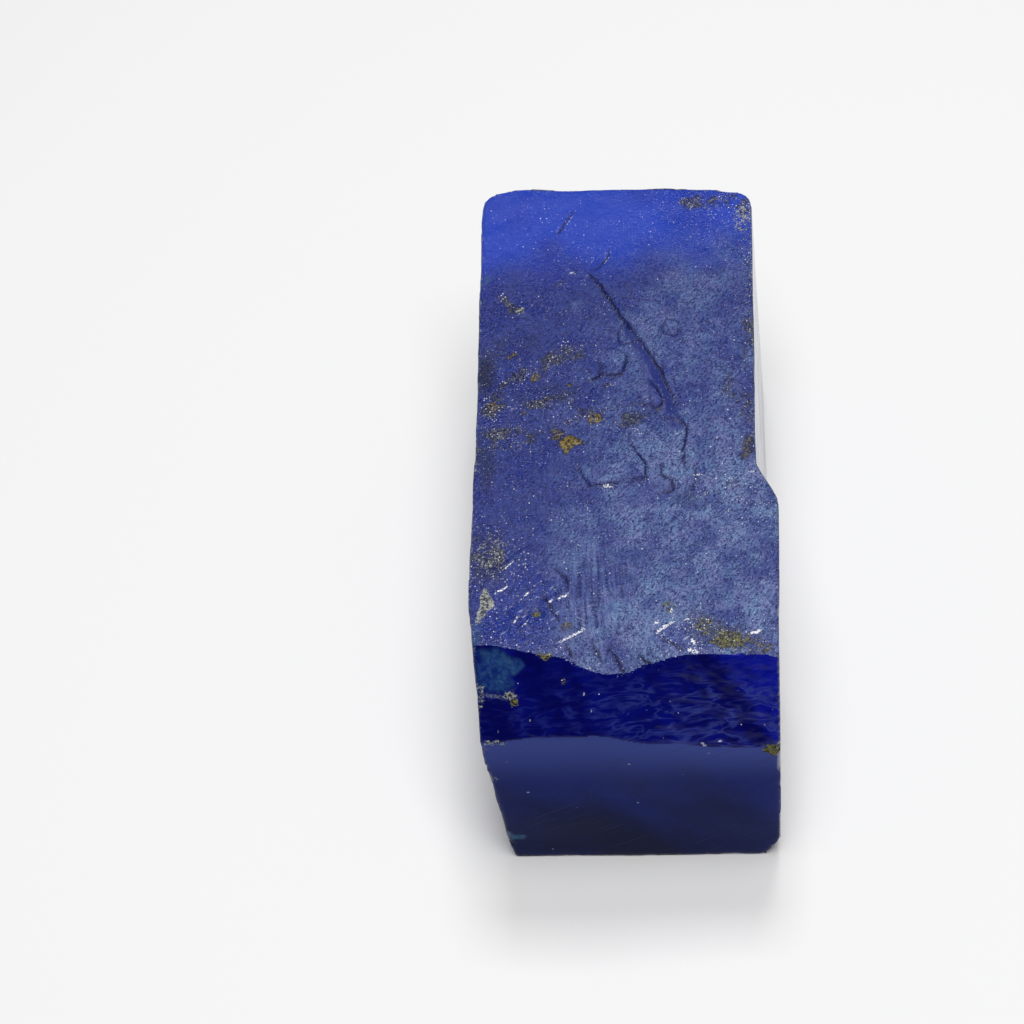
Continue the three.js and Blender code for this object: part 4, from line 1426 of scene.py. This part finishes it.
@dataclass
class StoneBlock:
    """The stone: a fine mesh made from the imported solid, carved to the true relief and dressed."""

    relief: StoneRelief = field(default_factory=StoneRelief)
    marks: SurfaceMarks = field(default_factory=SurfaceMarks)
    name: str = "rough_stone"
    merge_reach: float = 0.002
    voxel: float = 0.34
    refined_drop: float = 7.8
    snap_reach: Point = (0.2, 0.42)
    carving_rounds: int = 2
    outward_limit: float = 0.03
    break_grit: Point = (0.012, 0.5)
    front_grit: Point = (0.002, 1.1)
    right_grit: Point = (0.003, 1.3)
    left_depth: float = 0.05
    far_end_depth: float = 0.04
    edge_loss: Point = (0.04, 0.2)
    edge_loss_reach: float = 0.16
    chip_reach: float = 0.24
    glint_reach: float = 0.3

    def copy_of_solid(self) -> bpy.types.Object:
        """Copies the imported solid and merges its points.

        Returns:
            The copy, as a new object at the origin.
        """
        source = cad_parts[STONE_NODE]
        mesh = bpy.data.meshes.new(self.name)
        shape = bmesh.new()
        shape.from_mesh(source.data)
        bmesh.ops.remove_doubles(shape, verts=shape.verts, dist=self.merge_reach * MM)
        shape.to_mesh(mesh)
        shape.free()
        mesh.materials.clear()
        stone = bpy.data.objects.new(self.name, mesh)
        bpy.context.scene.collection.objects.link(stone)
        return stone

    def remesh(self, stone: bpy.types.Object) -> None:
        """Gives the stone an even mesh of small squares.

        Args:
            stone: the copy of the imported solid.
        """
        modifier = stone.modifiers.new("even mesh", "REMESH")
        modifier.mode = "VOXEL"
        modifier.voxel_size = self.voxel * MM
        modifier.use_smooth_shade = True
        evaluated = stone.evaluated_get(bpy.context.evaluated_depsgraph_get())
        mesh = bpy.data.meshes.new_from_object(evaluated)
        stone.modifiers.clear()
        stone.data = mesh

    def refine_upper_faces(self, stone: bpy.types.Object) -> None:
        """Halves the mesh spacing on the top and the break, whose relief is the finest.

        Args:
            stone: the stone, evenly meshed.
        """
        shape = bmesh.new()
        shape.from_mesh(stone.data)
        low = (self.relief.height - self.refined_drop) * MM
        upper = {
            edge
            for face in shape.faces
            if face.calc_center_median().z > low and (face.normal.z > 0.35 or face.normal.y < -0.4)
            for edge in face.edges
        }
        bmesh.ops.subdivide_edges(shape, edges=list(upper), cuts=1, use_grid_fill=True)
        bmesh.ops.triangulate(shape, faces=[face for face in shape.faces if len(face.verts) > 4])
        shape.to_mesh(stone.data)
        shape.free()

    def drawn_points(self, stone: bpy.types.Object) -> np.ndarray:
        """Reads the mesh's points.

        Args:
            stone: the stone.

        Returns:
            The points in drawn millimetres, one row each.
        """
        flat = np.empty(len(stone.data.vertices) * 3)
        stone.data.vertices.foreach_get("co", flat)
        return flat.reshape(-1, 3) / MM + np.array(DRAWN_CENTRE)

    def store_points(self, stone: bpy.types.Object, points: np.ndarray) -> None:
        """Puts points back on the mesh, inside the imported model's box.

        Args:
            stone: the stone.
            points: the points in drawn millimetres, one row each.
        """
        metres = np.clip((points - np.array(DRAWN_CENTRE)) * MM, *CAD_BOX)
        stone.data.vertices.foreach_set("co", metres.astype(np.float32).ravel())
        stone.data.update()

    def side_depths(self, points: np.ndarray) -> tuple[np.ndarray, np.ndarray]:
        """Works out how deep each point lies under each side.

        Args:
            points: positions in drawn millimetres, one row each.

        Returns:
            The depths along each side's own axis, and the same measured square to the slope of the break.
        """
        depths = self.relief.depths(points)
        lengthening = np.ones_like(depths)
        lengthening[:, Side.BREAK.value] = np.hypot(1, along(self.relief.break_run, points[:, 0]))
        return depths, depths / lengthening

    def carve(self, stone: bpy.types.Object) -> tuple[np.ndarray, np.ndarray]:
        """Moves each point on to the true surface of its nearest side, except inside chips.

        Args:
            stone: the stone, evenly meshed.

        Returns:
            The number of each point's side, and its distance from the next side's surface, small at edges.
        """
        points = self.drawn_points(stone)
        for _ in range(self.carving_rounds):
            raw, square = self.side_depths(points)
            order = np.argsort(np.abs(square), axis=1)
            rows = np.arange(len(points))
            side = order[:, 0]
            gap = raw[rows, side]
            hold = 1 - ease(np.abs(gap), *self.snap_reach)
            points = points + OUTWARDS[side] * (gap * hold)[:, None]
        edge = np.abs(square[rows, order[:, 1]])
        self.store_points(stone, points)
        return side, edge

    def grit(self, points: np.ndarray) -> dict[Side, np.ndarray]:
        """Works out the fine relief of each side.

        Args:
            points: positions in drawn millimetres, one row each.

        Returns:
            The relief at every point, by side, positive outwards.
        """
        x, y, z = points.T
        fields = self.marks.fields(points)
        grains = 0.5 * uneven(x, y, 0.46) + 0.5 * uneven(x + 40, y - 30, 0.9)
        coarse = 0.01 + 0.03 * fields["band"] + 0.03 * fields["crust"] - 0.008 * fields["cobalt"]
        facets = uneven((0.78 * x + 0.62 * y) / 3.4, (-0.62 * x + 0.78 * y), 0.5)
        furrows = uneven(x, 0.12 * y, 0.42)
        carved = 0.075 * fields["glossy"] * facets + 0.02 * fields["striae"] * furrows
        carved = carved - 0.09 * fields["crack_and_painted_shade"]
        cleaved = 0.5 * uneven(x + y, z, 0.8) + 0.5 * uneven(x - y, z + 9, 2.1)
        return {
            Side.TOP: coarse * grains + carved - 0.03,
            Side.BREAK: swell(x, z, self.break_grit),
            Side.FRONT: swell(x, z, self.front_grit),
            Side.LEFT: self.left_depth * cleaved,
            Side.RIGHT: swell(y, z, self.right_grit),
            Side.FAR_END: self.far_end_depth * cleaved,
            Side.BASE: 0.0 * x,
        }

    def edge_wear(self, points: np.ndarray, edge: np.ndarray) -> np.ndarray:
        """Works out how much has crumbled off the edges.

        Args:
            points: positions in drawn millimetres, one row each.
            edge: each point's distance from the next side's surface.

        Returns:
            The depth that is lost at each point.
        """
        x, y, z = points.T
        nibbles = 0.5 * uneven(x + 3 * z, y - 2 * z, 0.8) + 0.5 * uneven(x - z, y + z, 2.6)
        least, more = self.edge_loss
        return (least + more * ease(nibbles, -0.1, 1.1)) * np.exp(-edge / self.edge_loss_reach)

    def roughen(self, stone: bpy.types.Object, side: np.ndarray, edge: np.ndarray) -> None:
        """Adds the grit of each side and crumbles the edges. Outward moves are held to a small limit, and
        every point stays inside the imported model's box.

        Args:
            stone: the carved stone.
            side: the number of each point's side.
            edge: each point's distance from the next side's surface.
        """
        points = self.drawn_points(stone)
        move = np.zeros(len(points))
        for name, amount in self.grit(points).items():
            move = np.where(side == name.value, amount, move)
        normals = np.empty(len(points) * 3)
        stone.data.vertices.foreach_get("normal", normals)
        change = np.minimum(move, self.outward_limit) - self.edge_wear(points, edge)
        self.store_points(stone, points + normals.reshape(-1, 3) * change[:, None])

    def write_marks(self, stone: bpy.types.Object, edge: np.ndarray) -> None:
        """Stores every mark on the mesh's points, with the wear of its edges.

        Args:
            stone: the finished shape.
            edge: each point's distance from the next side's surface.
        """
        points = self.drawn_points(stone)
        fields = self.marks.fields(points)
        x, y, z = points.T
        kink = np.exp(-np.abs(self.relief.above_break(x, z)) / 0.9) * ease(-y, 22.0, 24.0)
        lip = ease(z, 24.5, 26.0) * ease(-y, 18.0, 19.5)
        chips = np.exp(-edge / self.chip_reach) * (0.72 - 0.4 * lip) * (1 - kink)
        fields["edge"] = chips * (0.7 + 0.3 * ease(z, 22.0, 26.0))
        # Painted glints crowd along the lip's edge.
        fields["painted_glints"] = np.maximum(fields["painted_glints"], np.exp(-edge / self.glint_reach) * lip)
        for name, values in fields.items():
            attribute = stone.data.attributes.new(name, "FLOAT", "POINT")
            attribute.data.foreach_set("value", values.astype(np.float32))

    def dress(self, stone: bpy.types.Object, side: np.ndarray) -> None:
        """Gives each face the finish of its first two corners, or the earlier finish where they differ.

        Args:
            stone: the finished shape.
            side: the number of each point's side.
        """
        kit = EffectKit()
        for finish in (WornTop(), GlossyBreak(), SawnFace(), CleavedSide(), PolishedSide()):
            stone.data.materials.append(finish.build(kit))
        worn, broken, sawn, cleaved, polished = range(5)
        finish_of_side = np.array([worn, broken, sawn, cleaved, polished, cleaved, sawn])
        mesh = stone.data
        corners = np.empty(len(mesh.loops), int)
        mesh.loops.foreach_get("vertex_index", corners)
        starts = np.empty(len(mesh.polygons), int)
        mesh.polygons.foreach_get("loop_start", starts)
        chosen = finish_of_side[side[corners]]
        lower = np.minimum(chosen[starts], chosen[starts + 1])
        mesh.polygons.foreach_set("material_index", lower.astype(np.int32))
        mesh.polygons.foreach_set("use_smooth", np.ones(len(mesh.polygons), bool))
        mesh.update()

    def build(self) -> bpy.types.Object:
        """Makes the stone, hangs it on the root body and hides the imported solid that it stands for.

        Returns:
            The finished stone.
        """
        stone = self.copy_of_solid()
        self.remesh(stone)
        self.refine_upper_faces(stone)
        side, edge = self.carve(stone)
        self.roughen(stone, side, edge)
        self.write_marks(stone, edge)
        self.dress(stone, side)
        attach(stone, "root")
        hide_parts(STONE_NODE)
        triangles = sum(len(face.vertices) - 2 for face in stone.data.polygons)
        LOG.info("%s: %d points, %d triangles", stone.name, len(stone.data.vertices), triangles)
        return stone


@dataclass(frozen=True)
class Softbox:
    """A square softbox facing the stone, in degrees, millimetres and watts. Azimuth turns from +Y to +X."""

    name: str
    elevation: float
    azimuth: float
    side: float
    power: float
    distance: float = 600.0

    def build(self) -> bpy.types.Object:
        """Adds the light.

        Returns:
            The light.
        """
        rise, turn = math.radians(self.elevation), math.radians(self.azimuth)
        level = math.cos(rise)
        towards = Vector((math.sin(turn) * level, math.cos(turn) * level, math.sin(rise)))
        data = bpy.data.lights.new(self.name, "AREA")
        data.shape = "SQUARE"
        data.size = self.side * MM
        data.energy = self.power
        light = bpy.data.objects.new(self.name, data)
        light.location = towards * self.distance * MM
        light.rotation_mode = "QUATERNION"
        light.rotation_quaternion = (-towards).to_track_quat("-Z", "Y")
        bpy.context.scene.collection.objects.link(light)
        return light


@dataclass(frozen=True)
class Studio:
    """Pale table, soft light from above and behind, and the camera, in millimetres and degrees."""

    camera_target: Place = (-11.56, 9.68, 0.0)
    camera_azimuth: float = 8.85
    camera_elevation: float = 57.14
    camera_roll: float = -8.8
    camera_distance: float = 219.0
    camera_near: float = 1.0
    camera_far: float = 20000.0
    lens: float = 82.7
    sensor: float = 36.0
    table_half: float = 3000.0
    table_colour: Colour = (0.88, 0.88, 0.88)
    table_roughness: float = 0.9
    table_specular: float = 0.1
    backdrop: Colour = (0.9, 0.9, 0.9)
    lights: tuple[Softbox, ...] = (
        Softbox("key behind", 73.5, 6.0, 130.0, 1.16),
        Softbox("fill overhead", 80.0, 162.0, 280.0, 2.55),
    )
    room_colour: Colour = (1.0, 1.0, 1.0)
    room_glow: float = 0.1

    def drawn(self, place: Place) -> Vector:
        """A drawn place in metres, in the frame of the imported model."""
        return (Vector(place) - DRAWN_CENTRE) * MM

    def add_camera(self) -> bpy.types.Object:
        """Puts the camera at the photograph's viewing angle.

        Returns:
            The camera.
        """
        a, e, r = (math.radians(v) for v in (self.camera_azimuth, self.camera_elevation, self.camera_roll))
        back = Vector((math.sin(a) * math.cos(e), -math.cos(a) * math.cos(e), math.sin(e)))
        right = Vector((math.cos(a), math.sin(a), 0.0))
        up = back.cross(right)
        across = math.cos(r) * right + math.sin(r) * up
        upright = -math.sin(r) * right + math.cos(r) * up
        data = bpy.data.cameras.new("camera")
        data.sensor_width = self.sensor
        data.lens = self.lens
        data.clip_start = self.camera_near * MM
        data.clip_end = self.camera_far * MM
        camera = bpy.data.objects.new("camera", data)
        turn = Matrix((across, upright, back)).transposed().to_4x4()
        place = self.drawn(self.camera_target) + back * self.camera_distance * MM
        camera.matrix_world = Matrix.Translation(place) @ turn
        bpy.context.scene.collection.objects.link(camera)
        bpy.context.scene.camera = camera
        return camera

    def add_table(self) -> bpy.types.Object:
        """Adds the plain pale table top.

        Returns:
            The table.
        """
        shape = bmesh.new()
        bmesh.ops.create_grid(shape, x_segments=4, y_segments=4, size=self.table_half * MM)
        mesh = bpy.data.meshes.new("table")
        shape.to_mesh(mesh)
        shape.free()
        material = bpy.data.materials.new("pale table")
        material.use_nodes = True
        shader = material.node_tree.nodes["Principled BSDF"]
        shader.inputs["Base Color"].default_value = (*self.table_colour, 1.0)
        shader.inputs["Roughness"].default_value = self.table_roughness
        shader.inputs["Specular IOR Level"].default_value = self.table_specular
        mesh.materials.append(material)
        table = bpy.data.objects.new("table", mesh)
        bpy.context.scene.collection.objects.link(table)
        return table

    def add_room(self) -> bpy.types.World:
        """Adds a dim room round the stone, seen by the camera as a plain pale backdrop behind the table.

        Returns:
            The room.
        """
        world = bpy.data.worlds.new("room")
        world.use_nodes = True
        board = NodeBoard(world.node_tree)
        world.node_tree.nodes.clear()
        room, plain = board.add("Background"), board.add("Background")
        board.feed(room.inputs["Color"], self.room_colour)
        board.feed(room.inputs["Strength"], self.room_glow)
        board.feed(plain.inputs["Color"], self.backdrop)
        mix = board.add("MixShader")
        board.feed(mix.inputs[0], board.add("LightPath").outputs["Is Camera Ray"])
        board.feed(mix.inputs[1], room.outputs[0])
        board.feed(mix.inputs[2], plain.outputs[0])
        board.feed(board.add("OutputWorld").inputs["Surface"], mix.outputs[0])
        bpy.context.scene.world = world
        return world

    def build(self) -> None:
        """Sets the whole scene up round the stone."""
        bpy.context.scene.view_settings.view_transform = "Standard"
        bpy.context.scene.view_settings.look = "None"
        self.add_camera()
        self.add_table()
        for light in self.lights:
            light.build()
        self.add_room()
        LOG.info("studio ready")


def main() -> None:
    """Builds the studio and the stone."""
    logging.basicConfig(level=logging.INFO)
    Studio().build()
    StoneBlock().build()


if __name__ == "__main__":
    main()
